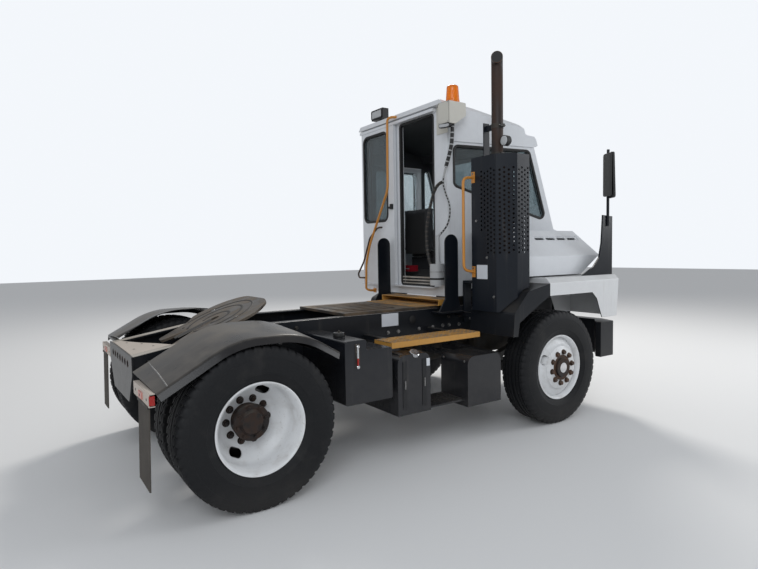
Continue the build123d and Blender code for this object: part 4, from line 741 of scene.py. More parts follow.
def tyre(shape, x, y):
    pitch = 2 * pi / PITCHES
    rings = []
    for step in range(PITCHES * 4):
        turn = pitch * (step // 4 + TURNS[step % 4])
        section = tyre_profile(step % 4 > 1)
        spots = [(turn, y + away, radius) for away, radius in section]
        spots += [(turn + pitch / 2, y - away, radius) for away, radius in reversed(section[:-1])]
        rings.append([(x + r * cos(t), side_y, AXLE_HEIGHT + r * sin(t)) for t, side_y, r in spots])
    size, steps = len(rings[0]), len(rings)
    points = [point for ring in rings for point in ring]
    faces = []
    for i in range(steps):
        j = (i + 1) % steps
        faces += [(i * size + k, i * size + k + 1, j * size + k + 1, j * size + k) for k in range(size - 1)]
        faces.append((i * size + size - 1, i * size, j * size, j * size + size - 1))
    shape.part(points, faces, tyre_black, True)


for side, name in HAND:
    twin = Shape(f"rear_tyre_treads_{name}")
    for middle in TYRE_MIDDLES["rear"]:
        tyre(twin, REAR_AXLE, side * middle)
    twin.done(f"rear_wheels_{name}", f"rear_tyres_{name}", sharp=38)
    single = Shape(f"front_tyre_tread_{name}")
    for middle in TYRE_MIDDLES["front"]:
        tyre(single, FRONT_AXLE, side * middle)
    single.done(f"front_wheel_{name}", f"front_tyre_{name}", sharp=38)

# %% [markdown]
# ## Hand holes
# Each disc has two oval holes, through which a hand reaches the valve. They are cut through a copy
# of the disc with a slot-shaped tool, which leaves the true thickness of the plate in the hole.


# %% Cut the discs
SLOT_REACH, SLOT_HALF, SLOT_END = 0.219, 0.020, 0.0275
angles = [2 * pi * (i + 0.5) / 28 for i in range(28)]
slot = [((SLOT_HALF if cos(t) > 0 else -SLOT_HALF) + SLOT_END * cos(t), SLOT_END * sin(t)) for t in angles]


def hand_holes(name, axle, side, low, high, first):
    """Cut two holes between two distances from the middle, the first at an angle in degrees."""
    mesh = bpy.data.meshes.new(name + ".holed")
    work = joined_copy(name)
    work.to_mesh(mesh)
    work.free()
    mesh.materials.append(solids[name].data.materials[0])
    wheel = linked(name + ".holed", mesh)
    tool = Shape("slots")
    for turn in (radians(first), radians(first + 180)):
        def at(u, v, face, turn=turn):
            reach = SLOT_REACH + v
            return (axle + reach * cos(turn) - u * sin(turn), side * (low + (high - low) * face),
                    AXLE_HEIGHT + reach * sin(turn) + u * cos(turn))

        tool.plate(slot, at, seal_rubber)
    cutter = linked("slots", tool.mesh())
    cut = wheel.modifiers.new("holes", "BOOLEAN")
    cut.operation, cut.solver, cut.object = "DIFFERENCE", "EXACT", cutter
    holed = applied(wheel)
    wheel.modifiers.clear()
    wheel.data = holed
    bpy.data.objects.remove(cutter)
    holed.shade_smooth()
    holed.set_sharp_from_angle(angle=radians(32))
    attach(wheel, solids[name]["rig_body"])
    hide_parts(name)
    print(name, len(mesh.polygons), "->", len(holed.polygons), "faces")


for side, name in HAND:
    hand_holes(f"rear_rims_{name}", REAR_AXLE, side, 0.900, 1.070, 63)
    hand_holes(f"front_rim_{name}", FRONT_AXLE, side, 1.020, 1.215, 157)

# %% [markdown]
# ## Wheel nuts and hubs
# Ten nuts sit on a 285.75 mm circle, the usual one for these discs. At the rear a long greasy hub
# stands out of the deep dish with bolts round its flange. At the front the hub is short and ends
# in a plated cap.


# %% Nuts, studs and hubs
REAR_FACE, FRONT_FACE, FLANGE_FACE, CAP_FACE = 0.930, 1.196, 1.0251, 1.2162
NUT_CIRCLE, NUT_ACROSS = 0.1429, 0.036


def wheel_ring(shape, x, face, side, count, circle, across, finish, stud=0.0, turn=0.0):
    for step in range(count):
        angle = turn + 2 * pi * step / count
        point = (x + circle * cos(angle), side * face, AXLE_HEIGHT + circle * sin(angle))
        shape.bolt(point, (0, side, 0), across, finish, stud)


long_hub = [(0.001, 0.1125), (0.030, 0.1115), (0.060, 0.1095), (0.070, 0.1095), (0.072, 0.1215), (0.092, 0.1215),
            (0.095, 0.118), (0.095, 0.086), (0.099, 0.082), (0.106, 0.074), (0.112, 0.070), (0.113, 0.0)]
short_hub = [(0.001, 0.089), (0.012, 0.088), (0.014, 0.0875), (0.016, 0.0865), (0.0205, 0.0845), (0.0215, 0.0)]
for side, name in HAND:
    out = (0, side, 0)
    rear = Shape(f"rear_hub_{name}")
    wheel_ring(rear, REAR_AXLE, REAR_FACE, side, 10, NUT_CIRCLE, NUT_ACROSS, dark_hub, 0.011)
    rear.turned((REAR_AXLE, side * REAR_FACE, AXLE_HEIGHT), out, long_hub, dark_hub, 48)
    wheel_ring(rear, REAR_AXLE, FLANGE_FACE, side, 8, 0.101, 0.019, dark_hub, 0.0, 0.2)
    rear.done(f"rear_wheels_{name}")

    front = Shape(f"front_hub_{name}")
    foot = (FRONT_AXLE, side * FRONT_FACE, AXLE_HEIGHT)
    wheel_ring(front, FRONT_AXLE, FRONT_FACE, side, 10, NUT_CIRCLE, NUT_ACROSS, rusty_hub, 0.0, 0.16)
    front.turned(foot, out, [(0.0005, 0.118), (0.0022, 0.116), (0.0022, 0.090), (0.0005, 0.088)], rusty_hub, 40)
    front.turned(foot, out, short_hub, dark_hub, 40)
    cap = [(0, 0.046), (0.0008, 0.046), (0.0014, 0.040), (0.0014, 0)]
    front.turned((FRONT_AXLE, side * CAP_FACE, AXLE_HEIGHT), out, cap, bright_chrome, 32)
    front.done(f"front_wheel_{name}")

# %% [markdown]
# ## Exhaust guard with real holes
# The guard is one folded sheet, solid below and perforated above. The holes are cut as cells: a
# square of sheet with a round opening, repeated in columns that shift by half a step. A texture
# would look flat from the side, where the holes show the muffler behind them.


# %% Sheet cells with round holes
def box_outline(left, right, low, high):
    return [(left, low), (right, low), (right, high), (left, high)]


def sheet_cell(shape, place, left, right, low, high, radius, finish, steps=10):
    """One cell of sheet, with a round hole if it has a radius: both faces and the hole's wall."""
    corners = box_outline(left, right, low, high)
    if not radius:
        shape.plate(corners, place, finish)
        return
    middle, level = (left + right) / 2, (low + high) / 2
    turns = [2 * pi * (i + 0.5) / steps for i in range(steps)]
    ring = [(middle + radius * cos(t), level + radius * sin(t)) for t in turns]
    border = []
    for u, v in ring:
        du, dv = u - middle, v - level
        reach = min((right - left) / 2 / max(abs(du), 1e-9), (high - low) / 2 / max(abs(dv), 1e-9))
        border.append((middle + du * reach, level + dv * reach))
    for side in (0, 1):
        faces = []
        for i in range(steps):
            j = (i + 1) % steps
            face = [i, j, steps + j, steps + i]
            (ax, ay), (bx, by) = border[i], border[j]
            if abs(ax - bx) > 1e-7 and abs(ay - by) > 1e-7:
                k = min(range(4), key=lambda c: hypot(corners[c][0] - (ax + bx) / 2, corners[c][1] - (ay + by) / 2))
                face.insert(3, 2 * steps + k)
            faces.append(face)
        shape.part([place(u, v, side) for u, v in ring + border + corners], faces, finish)
    wall = [place(u, v, side) for side in (0, 1) for u, v in ring]
    rounds = [(i, (i + 1) % steps) for i in range(steps)]
    shape.part(wall, [(i, j, steps + j, steps + i) for i, j in rounds], finish)


# %% [markdown]
# ## The guard's folds
# The sheet is bent at four corners, so it is laid out panel by panel, from the side at the rear to
# the one at the front. Each panel has its own punched fields, and the lower edge follows the sheet
# over the wheel.

# %% The folded sheet
GUARD_HIGH = 2.465
HOLES_LOW, HOLES_HIGH = 1.583, 2.363
HOLE_PITCH, HOLE_RADIUS = 0.040, 0.0105
SKIN = 0.003
GUARD_BACK, GUARD_FRONT, GUARD_INNER = CAB_REAR - 0.024, CAB_REAR + 0.330, -0.705
guard_plan = [(GUARD_BACK, GUARD_INNER), (GUARD_BACK, -1.010), (CAB_REAR + 0.125, -1.120),
              (CAB_REAR + 0.281, -1.120), (GUARD_FRONT, -1.060), (GUARD_FRONT, GUARD_INNER)]
wheel_line = [(CAB_REAR + x, z) for x, z in ((0.008, 1.095), (0.025, 1.102), (0.190, 1.270), (0.390, 1.310))]
# For each panel of the plan, the punched fields: from, to, and how low the holes go.
fields = [[(0.106, 0.186, 1.790), (0.186, 0.300, 1.583)], [(0.012, 0.172, 1.583)], [(0.002, 0.154, 1.583)],
          [(0.018, 0.058, 1.583)], [(0.020, 0.300, 1.583)]]


def guard_floor(x):
    """The guard's lower edge, which follows the sheet over the wheel."""
    if x < wheel_line[0][0]:
        return 1.075
    for (x0, z0), (x1, z1) in zip(wheel_line, wheel_line[1:]):
        if x <= x1:
            return z0 + (z1 - z0) * (x - x0) / (x1 - x0)
    return wheel_line[-1][1]


def punched(shape, place, left, right, bottom, finish):
    """Columns of punched cells, every second one half a pitch higher, with plain sheet at the ends."""
    columns = max(1, round((right - left) / HOLE_PITCH))
    width = (right - left) / columns
    for column in range(columns):
        start = left + column * width
        first = bottom + (HOLE_PITCH / 2 if column % 2 else 0)
        rows = int((HOLES_HIGH - first) / HOLE_PITCH + 1e-6)
        for low, high in ((bottom, first), (first + rows * HOLE_PITCH, HOLES_HIGH)):
            if high - low > 1e-5:
                sheet_cell(shape, place, start, start + width, low, high, 0, finish)
        for row in range(rows):
            low = first + row * HOLE_PITCH
            sheet_cell(shape, place, start, start + width, low, low + HOLE_PITCH, HOLE_RADIUS, finish)


guard = Shape("guard_sheet")
for start, end, holed in zip(guard_plan, guard_plan[1:], fields):
    start, end = Vector(start), Vector(end)
    length = (end - start).length
    way = (end - start) / length
    inward = Vector((-way.y, way.x))

    def on_panel(u, v, side, start=start, way=way, inward=inward):
        spot = start + way * u + inward * (SKIN * side)
        return (spot.x, spot.y, v)

    def plain(left, right, low, high):
        guard.plate(box_outline(left, right, low, high), on_panel, black_guard)

    done = 0.0
    for left, right, bottom in holed:
        punched(guard, on_panel, left, right, bottom, black_guard)
        if left > done:
            plain(done, left, HOLES_LOW, HOLES_HIGH)
        if bottom > HOLES_LOW:
            plain(left, right, HOLES_LOW, bottom)
        done = right
    plain(done, length, HOLES_LOW, HOLES_HIGH)
    plain(0, length, HOLES_HIGH, GUARD_HIGH)
    steps = [length * i / 6 for i in range(7)]
    low_edge = [(u, guard_floor((start + way * u).x)) for u in steps]
    guard.plate(low_edge + [(length, HOLES_LOW), (0, HOLES_LOW)], on_panel, black_guard)

# %% [markdown]
# ## What closes and holds the guard
# A floor and a black shield close the sheet below and towards the cab: dark sheets of painted shade for the guard's
# inside, seen through the holes. One bracket carries it on the rail, a strap rises from it to the stack's clamp, and a
# blank plate is fixed at its back.

# %% Floor, shield, bracket and plate of the guard
# Floor and shield: black sheets of painted shade behind the holes.
for one, other in (((0.691, -1.0, 1.310), (1.037, -0.708, 1.316)), ((0.691, -0.712, 1.320), (1.037, -0.709, 2.455))):
    guard.block(one, other, black_guard, 0)
for one, other in (((0.826, -0.711, 1.310), (0.926, -0.432, 1.334)), ((0.826, -0.444, 0.925), (0.926, -0.432, 1.334)),
                   ((0.841, -0.717, 2.405), (0.911, -0.705, 2.800)), ((0.864, -0.7977, 2.725), (0.888, -0.705, 2.775))):
    guard.block(one, other, black_guard)
for y, z in ((-0.768, 1.893), (-0.898, 1.560), (-0.980, 1.210)):
    guard.bolt((GUARD_BACK, y, z), (-1, 0, 0), 0.017, bolt_steel)
guard.block((GUARD_BACK - 0.0025, -0.903, 1.366), (GUARD_BACK, -0.771, 1.493), blank_plate, 0.0008)
guard.done("chassis", "exhaust_guard", sharp=30)

# %% [markdown]
# ## Stack and its clamp
# The stack stands on the muffler's cone, where a dark band clamp with one long bolt holds it, and a second band ties it
# to the bracket. Its tip is a bent pipe, and its outlet is a black disc of painted shade, for the pipe's dark inside,
# within a thin rim.

# %% Clamps, cone and outlet
stack = Shape("stack_clamp")
STACK_X, STACK_Y = 0.876, -0.850
for z in (2.470, 2.728):
    band = [(0, 0.0522), (0, 0.0552), (0.042, 0.0552), (0.042, 0.0522)]
    stack.turned((STACK_X, STACK_Y, z), (0, 0, 1), band, cast_iron, 40)
    lug = ((STACK_X - 0.026, STACK_Y - 0.070, z + 0.008), (STACK_X + 0.026, STACK_Y - 0.052, z + 0.034))
    stack.block(*lug, cast_iron)
    stack.bar([(STACK_X + x, STACK_Y - 0.062, z + 0.021) for x in (-0.040, 0.040)], 0.0045, bolt_steel)
cone = [(0, 0.1149), (0.012, 0.112), (0.030, 0.090), (0.045, 0.0600), (0.06, 0.0525)]
stack.turned((STACK_X, STACK_Y, 2.405), (0, 0, 1), cone, browned_steel, 40)
outlet, blow = (STACK_X - 0.066, STACK_Y - 0.062, 3.338), (-0.066, -0.062, 0)
stack.turned(outlet, blow, [(0.0004, 0.052), (0.0012, 0.0515), (0.0012, 0.0475), (0.0006, 0.047)], rusty_hub, 40)
# A black disc in the outlet: painted shade for the pipe's inside.
stack.turned(outlet, blow, [(0.0008, 0.047), (0.0009, 0.0)], seal_rubber, 40)
stack.done("chassis")

# %% [markdown]
# ## Window rubbers
# Each pane sits in a black rubber that grips both glass and sheet. The rubber is one section drawn
# round the opening's outline, on the plane of the wall or door that carries it.

# %% Rubbers round the windows
RUBBER = [(-0.013, -0.012), (-0.013, 0.003), (-0.006, 0.007), (0.008, 0.007), (0.013, 0.003), (0.013, -0.002)]
TOE = radians(11.3)
SCREEN_BACK, SCREEN_UP = 0.270, 0.910
LEAN, SCREEN_HIGH = atan2(SCREEN_BACK, SCREEN_UP), hypot(SCREEN_BACK, SCREEN_UP)
SCREEN_FOOT = (1.981, 1.840)


def right_wall(s, z):
    return (CAB_REAR + s * cos(TOE), CAB_CORNER - s * sin(TOE), z)


def screen(y, up):
    return (SCREEN_FOOT[0] - up * sin(LEAN), y, SCREEN_FOOT[1] + up * cos(LEAN))


screen_outline = [(wall_y(1.981) + 0.090, 0.060), (1.050, 0.060), (1.050, SCREEN_HIGH - 0.070),
                  (wall_y(1.711) + 0.090, SCREEN_HIGH - 0.070)]
# Each pane: its outline, its corner radius, its place on the wall, and the way the wall faces.
windows = {
    "cab": [
        (box_outline(-1.050, -0.600, 1.990, 2.940), 0.060, lambda u, v: (CAB_REAR, -u, v), (-1, 0, 0)),
        ([(0.075, 2.265), (1.190, 1.930), (0.975, 2.645), (0.075, 2.650)], 0.050, right_wall,
         (-sin(TOE), -cos(TOE), 0)),
        ([(-1.597, 1.900), (-1.597, 2.640), (-1.677, 2.640), (-1.887, 1.900)], 0.030,
         lambda u, v: (-u, 1.130, v), (0, 1, 0)),
        (screen_outline, 0.060, screen, (cos(LEAN), 0, sin(LEAN))),
    ],
    "sliding_door": [
        (box_outline(-1.055, -0.590, 1.975, 2.950), 0.070, lambda u, v: (0.661, -u, v), (-1, 0, 0)),
    ],
}
for body, panes in windows.items():
    rubber = Shape(f"window_rubbers_{body}")
    for outline, radius, place, normal in panes:
        ring = [place(u, v) for u, v in round_corners(outline, radius, 8)]
        middle = sum((Vector(p) for p in ring), Vector()) / len(ring)
        spokes = [Vector(p) - middle for p in ring]
        turn = sum(a.cross(b).dot(Vector(normal)) for a, b in zip(spokes, spokes[1:]))
        rubber.seal(ring if turn > 0 else ring[::-1], normal, RUBBER, seal_rubber)
    rubber.done(body)
door_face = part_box("side_door")[1].y
rubber = Shape("window_rubbers_hinged_door")
outline = box_outline(-1.477, -0.857, 1.900, 2.610)
ring = [(-u, door_face - 0.004, v) for u, v in round_corners(outline, 0.060, 8)]
rubber.seal(ring, (0, 1, 0), RUBBER, seal_rubber)
rubber.block((0.850, door_face - 0.006, 1.770), (0.960, door_face + 0.010, 1.800), trim_plastic, 0.005)
rubber.done("hinged_door")

# %% [markdown]
# ## Doorway
# The opening has a black seal, three worn sill strips where boots land, and a latch on the open
# door's edge. A red case stands on the floor inside.

# %% Seal, sill and latch
doorway = Shape("doorway_trim")
opening = [(-0.144, 1.275), (-0.144, 2.985), (0.409, 2.985), (0.409, 1.275)]
ring = [(CAB_REAR, y, z) for y, z in round_corners(opening, 0.030)]
lip = [(-0.010, -0.030), (-0.010, 0.002), (0.000, 0.006), (0.012, 0.005), (0.014, 0.0)]
doorway.seal(ring, (-1, 0, 0), lip, seal_rubber)
for z in (1.290, 1.322, 1.354):
    doorway.block((CAB_REAR + 0.002, -0.132, z - 0.007), (CAB_REAR + 0.040, 0.397, z + 0.007), wear_plate, 0.003)
doorway.done("cab")
case = Shape("red_case_on_floor")
case.block((0.880, 0.480, 1.402), (0.990, 0.680, 1.470), red_case, 0.014)
case.block((0.876, 0.500, 1.430), (0.882, 0.660, 1.438), wrap_pale, 0.002)
case.done("cab")
latch = Shape("sliding_door_latch")
latch.block((0.636, 0.487, 2.095), (0.661, 0.520, 2.150), seal_rubber, 0.005)
latch.block((0.646, 0.520, 2.105), (0.661, 0.560, 2.125), seal_rubber, 0.003)
latch.done("sliding_door")

# %% [markdown]
# ## Seat
# A driver's seat is two foam cushions in tight cloth. Each starts as a rounded block a little
# smaller than the cushion, and cloth under slight pressure swells it, as foam does. The movement is
# capped, so the seat keeps its size.


# %% Cushions under pressure
FOAM_GRID, CLOTH_PRESSURE, CUSHION_RISE, LAST_FRAME = 0.006, 4, 0.009, 20


def cushion(name, low, high, edge):
    shape = Shape(name)
    shape.block(low, high, seat_cloth, edge)
    piece = shape.done("cab", "seat")
    even = piece.modifiers.new("even", "REMESH")
    even.mode, even.voxel_size = "VOXEL", FOAM_GRID
    piece.data = applied(piece)
    piece.modifiers.clear()
    before = [v.co.copy() for v in piece.data.vertices]
    cloth = piece.modifiers.new("swell", "CLOTH")
    cloth.settings.use_pressure = True
    cloth.settings.uniform_pressure_force = CLOTH_PRESSURE
    cloth.settings.effector_weights.gravity = 0
    cloth.settings.quality = 4
    cloth.point_cache.frame_end = LAST_FRAME
    for number in range(1, LAST_FRAME + 1):
        bpy.context.scene.frame_set(number)
    swollen = applied(piece)
    piece.modifiers.clear()
    for vertex, start, end in zip(piece.data.vertices, before, swollen.vertices):
        move = end.co - start
        vertex.co = start + move * min(1.0, CUSHION_RISE / max(move.length, 1e-9))
    bpy.context.scene.frame_set(1)
    finer = piece.modifiers.new("finer", "SUBSURF")
    finer.levels = finer.render_levels = 1
    piece.data.shade_smooth()


cushion("seat_base_cushion", (1.137, 0.332, 1.572), (1.586, 0.788, 1.668), 0.030)
cushion("seat_back_cushion", (1.030, 0.340, 1.640), (1.115, 0.780, 2.110), 0.035)
stand = Shape("seat_stand")
stand.block((1.220, 0.420, 1.400), (1.500, 0.700, 1.565), trim_plastic, 0.010)
stand.block((1.018, 0.380, 1.600), (1.034, 0.740, 2.060), trim_plastic, 0.006)
stand.bar([(1.130, 0.322, 1.600), (1.040, 0.322, 1.640)], 0.016, trim_plastic)
stand.done("cab", "seat")

# %% [markdown]
# ## Treads
# The side treads are punched sheet, folded down at its edges. The deck step is a hollow box, open
# to the rear, with a worn plate before it. All are drawn at their places in the photograph.

# %% Punched treads and deck step
TREAD_REAR, TREAD_FRONT, TREAD_NEAR, TREAD_FAR, TREAD_TOP, TREAD_LOW = -0.449, 0.491, 0.760, 1.000, 0.923, 0.878
ROWS, COLUMNS, ROW, COLUMN = 5, 20, 0.048, 0.047
FOLD = 0.004
folds = [((TREAD_REAR, TREAD_FAR - FOLD), (TREAD_FRONT, TREAD_FAR), 0.9225, 0.001),
         ((TREAD_REAR, TREAD_NEAR), (TREAD_FRONT, TREAD_NEAR + FOLD), 0.9225, 0.001),
         ((TREAD_REAR, TREAD_NEAR + FOLD), (TREAD_REAR + FOLD, TREAD_FAR - FOLD), 0.919, 0),
         ((TREAD_FRONT - FOLD, TREAD_NEAR + FOLD), (TREAD_FRONT, TREAD_FAR - FOLD), 0.919, 0)]
treads = Shape("worn_treads")
for side, _ in HAND:
    def on_tread(u, v, face, side=side):
        return (u, side * v, TREAD_TOP - FOLD * face)

    for row in range(ROWS):
        start = TREAD_NEAR + row * ROW
        for column in range(COLUMNS):
            left = TREAD_REAR + column * COLUMN
            sheet_cell(treads, on_tread, left, left + COLUMN, start, start + ROW, 0.0125, tread_ochre, 8)
    for (x0, y0), (x1, y1), top, edge in folds:
        treads.block((x0, side * y0, TREAD_LOW), (x1, side * y1, top), tread_ochre, edge)
    for x in (-0.349, 0.351):
        treads.block((x, side * RAIL_SIDE, 0.880), (x + 0.050, side * TREAD_NEAR, 0.915), black_frame, 0.002)
for low, high in (((0.480, -0.470, 1.161), (0.690, 0.470, 1.167)), ((0.480, -0.470, 1.111), (0.690, 0.470, 1.116)),
                  ((0.480, -0.470, 1.116), (0.684, -0.462, 1.161)), ((0.480, 0.462, 1.116), (0.684, 0.470, 1.161)),
                  ((0.684, -0.470, 1.116), (0.690, 0.470, 1.161))):
    treads.block(low, high, tread_ochre, 0.0015)
treads.block((0.250, -0.425, 1.109), (0.478, 0.425, 1.113), tread_ochre, 0.001)
treads.done("chassis", "steps")

# %% [markdown]
# ## Rail side
# Bolts with washers hold the tanks and brackets to the rail's web. A blank white plate is riveted between them, and a
# thin bright bar along the rail's top edge is a painted highlight.

# %% Bolts and blank plate on the rails
rail = Shape("rail_bolts")
spots = [(-0.083, 0.906), (0.030, 0.906), (0.269, 0.910), (0.435, 0.910), (0.557, 0.914), (0.636, 0.997),
         (0.769, 0.992), (0.638, 0.913), (0.768, 0.908), (0.905, 0.954), (-0.98, 1.03), (-0.98, 0.93),
         (-1.12, 1.03), (-1.12, 0.93)]
grommet = [(0, 0.036), (0.006, 0.036), (0.008, 0.033), (0.008, 0)]
for side, _ in HAND:
    for x, z in spots:
        rail.bolt((x, side * RAIL_SIDE, z), (0, side, 0), 0.024, bolt_steel if z < 0.96 else cast_iron)
    rail.turned((0.192, side * RAIL_SIDE, 1.000), (0, side, 0), grommet, seal_rubber, 32)
    # A thin bright bar along the rail's top edge: a painted highlight.
    rail.bar([(x, side * 0.4315, 1.0838) for x in (-1.250, 0.640)], 0.0026, bolt_steel, 8)
rail.block((-0.150, -0.4345, 0.962), (0.031, -RAIL_SIDE, 1.076), blank_plate, 0.0008)
for x in (-0.142, 0.023):
    for z in (0.970, 1.068):
        rail.turned((x, -0.4345, z), (0, -1, 0), [(0, 0.003), (0.0012, 0.0026), (0.0018, 0)], bolt_steel, 8)
rail.done("chassis")

# %% [markdown]
# ## Tanks and lockers
# The hydraulic tank shows its level in a glass with plated ends, white above and red below. The fuel
# tank is held by two straps and filled through a plated cap on its shoulder.

# %% Level glass, caps and straps
tanks = Shape("tank_fittings")
tanks.block((-0.846, -1.1025, 0.790), (-0.806, -1.0995, 0.970), cast_iron, 0.001)
tanks.bar([(-0.826, -1.108, 0.812), (-0.826, -1.108, 0.868)], 0.0075, red_lens, 14)
tanks.bar([(-0.826, -1.108, 0.868), (-0.826, -1.108, 0.948)], 0.0075, white_lens, 14)
fitting = [(0, 0.013), (0.014, 0.013), (0.017, 0.010), (0.017, 0)]
for z in (0.803, 0.951):
    tanks.turned((-0.826, -1.100, z), (0, -1, 0), fitting, bright_chrome, 18)
cap = [(0, 0.043), (0.004, 0.045), (0.022, 0.045), (0.030, 0.040), (0.034, 0.026), (0.034, 0.0)]
tanks.turned((-0.847, -0.880, 0.998), (0, 0, 1), cap, seal_rubber, 18, False)
tanks.bar([(-0.847, -0.880, 1.030), (-0.847, -0.880, 1.044)], 0.008, cast_iron)
neck = [(0, 0.034), (0.020, 0.034), (0.021, 0.041), (0.040, 0.041), (0.044, 0.036), (0.044, 0)]
tanks.turned((-0.290, -1.060, 0.810), (0, -0.5, 0.87), neck, bright_chrome, 32)
loop = round_corners([(-0.500, 0.376), (-1.100, 0.376), (-1.100, 0.836), (-0.500, 0.836)], 0.066, 8)
strap = [(-0.003, -0.019), (0.0045, -0.019), (0.0045, 0.019), (-0.003, 0.019)]
for x in (-0.405, -0.215):
    tanks.seal([(x, y, z) for y, z in reversed(loop)], (1, 0, 0), strap, black_frame)
    tanks.bar([(x, -1.109, 0.575), (x, -1.109, 0.640)], 0.006, bolt_steel, 8)
tanks.block((-0.190, -1.1018, 0.728), (-0.158, -1.0995, 0.788), blank_plate, 0.0006)
for y in (-0.800, -1.060):
    tanks.bolt((0.251, y, 0.700), (-1, 0, 0), 0.014, bolt_steel)
tanks.done("chassis")

# %% [markdown]
# ## Lamps and the relay box
# The work lamps have lenses in black rims. On the box a lid seam, three screws, a cable gland and an
# oval lamp in its frame are what the eye expects there. The beacon stands on a black foot.

# %% Lenses, screws and gland
lamps = Shape("cab_lamps")
lamps.block((0.634, 0.648, 3.128), (0.642, 0.832, 3.204), white_lens, 0.006)
rim = [(0.636, y, z) for y, z in round_corners(box_outline(0.642, 0.838, 3.122, 3.210), 0.014)]
square = [(-0.006, -0.006), (-0.006, 0.006), (0.006, 0.006), (0.006, -0.006)]
lamps.seal(rim[::-1], (-1, 0, 0), square, seal_rubber)
for y, z in ((-0.320, 2.990), (-0.325, 2.905), (-0.236, 2.812)):
    lamps.bolt((0.7105 if z < 2.9 else 0.700, y, z), (-1, 0, 0), 0.012, bolt_steel)
lamps.block((0.5985, -0.497, 2.828), (0.6015, -0.353, 3.026), beige_box, 0.001)
lamps.block((0.603, -0.502, 2.826), (0.606, -0.348, 3.0295), seal_rubber, 0)
for y in (-0.488, -0.362):
    for z in (2.838, 3.016):
        lamps.turned((0.5985, y, z), (-1, 0, 0), [(0, 0.005), (0.002, 0.0045), (0.0025, 0)], bolt_steel, 10)
oval = round_corners([(-0.540, 2.772), (-0.385, 2.786), (-0.385, 2.826), (-0.540, 2.812)], 0.017, 6)
lamps.plate(oval, lambda u, v, s: (0.575 + 0.026 * s, u, v), seal_rubber, 0.003)
lens = round_corners([(-0.532, 2.779), (-0.393, 2.791), (-0.393, 2.820), (-0.532, 2.806)], 0.013, 6)
lamps.plate(lens, lambda u, v, s: (0.571 + 0.006 * s, u, v), white_lens, 0.001)
lamps.block((0.590, -0.500, 2.800), (0.640, -0.400, 2.824), seal_rubber, 0.003)
lamps.turned((0.711, -0.435, 3.030), (0, 0, 1), [(0, 0.0655), (0.014, 0.0655), (0.016, 0.0645)], seal_rubber, 40)
gland = [(0, 0.022), (0.020, 0.022), (0.024, 0.016), (0.040, 0.014)]
lamps.turned((CAB_REAR - 0.034, -0.466, 2.823), (0, 0, -1), gland, seal_rubber, 6, False)
lamps.done("cab")
stack_glass = Shape("stack_lamp_lens")
lens_rim = [(0, 0.046), (0.003, 0.045), (0.003, 0.041)]
dome = [(0, 0.0415), (0.002, 0.036), (0.004, 0.020), (0.0045, 0)]
stack_glass.turned((0.8405, -0.964, 2.600), (-1, 0, 0), lens_rim, seal_rubber, 32)
stack_glass.turned((0.8385, -0.964, 2.600), (-1, 0, 0), dome, white_lens, 32)
stack_glass.done("chassis")

# %% [markdown]
# ## Rails to hold on by
# The guard's rail is one bent tube between two small orange feet. The cab's two tubes are lashed
# together: a long one from the roof and a shorter, older one that hooks back below the door.


# %% Bent tubes
def bent(points, radius, steps=6):
    """A tube's line with its corners rounded."""
    points = [Vector(p) for p in points]
    line = [points[0]]
    for before, here, after in zip(points, points[1:], points[2:]):
        come, go = (before - here).normalized(), (after - here).normalized()
        cut = min(radius, (before - here).length * 0.45, (after - here).length * 0.45)
        for step in range(steps + 1):
            t = step / steps
            line.append(here + come * cut * (1 - t) ** 2 + go * cut * t ** 2)
    return line + [points[-1]]


rails = Shape("guard_rail_tube")
tube = [(0.680, -0.735, 2.290), (0.557, -0.735, 2.280), (0.557, -0.735, 1.450), (0.680, -0.735, 1.430)]
rails.bar(bent(tube, 0.060), 0.013, rail_orange, 14)
for z in (2.290, 1.430):
    rails.block((0.680, -0.752, z - 0.050), (0.687, -0.712, z + 0.050), rail_orange, 0.002)
    rails.bolt((0.680, -0.732, z + 0.034), (-1, 0, 0), 0.012, bolt_steel)
rails.done("chassis", "guard_rail")
cab_tubes = Shape("cab_rail_tubes")
long_tube = [(0.690, 0.392, 3.062), (0.612, 0.400, 3.066), (0.601, 0.490, 3.062), (0.601, 0.500, 2.300),
             (0.601, 0.870, 1.720), (0.601, 0.955, 1.500), (0.601, 0.968, 1.200), (0.640, 0.940, 1.180),
             (0.705, 0.940, 1.180)]
old_tube = [(0.700, 0.700, 1.905), (0.612, 0.720, 1.905), (0.601, 0.870, 1.790), (0.601, 1.005, 1.520),
            (0.601, 1.135, 1.370), (0.601, 1.110, 1.328), (0.601, 0.985, 1.330)]
cab_tubes.bar(bent(long_tube, 0.070), 0.013, rail_orange, 14)
cab_tubes.bar(bent(old_tube, 0.035), 0.010, rusty_hub, 12)
for y, z in ((0.392, 3.062), (0.940, 1.180)):
    cab_tubes.block((0.700, y - 0.025, z - 0.025), (0.712, y + 0.025, z + 0.025), rail_orange, 0.002)
cab_tubes.done("cab", "cab_rails")

# %% [markdown]
# ## Coupler
# A trailer's plate has turned on this coupler for years, and grooves ring its throat; the shade in them is painted as
# black rings. The rings are bars sunk in the plate until only their backs show. The throat is a black strip of painted
# shade for its open slot, with a jaw at each side.

# %% Rings of painted shade, and jaws
TILT = radians(22.7)
PLATE_FOOT = Vector((-1.5129, 0, 1.1084))
along = Vector((cos(TILT), 0, sin(TILT)))
over = Vector((-sin(TILT), 0, cos(TILT)))
RING_LIFT = 0.0035


def on_plate(u, v, lift):
    """A point by its distance ahead of the throat, to the left, and above the plate."""
    return PLATE_FOOT + along * u + Vector((0, 1, 0)) * v + over * lift


coupler = Shape("coupler_details")
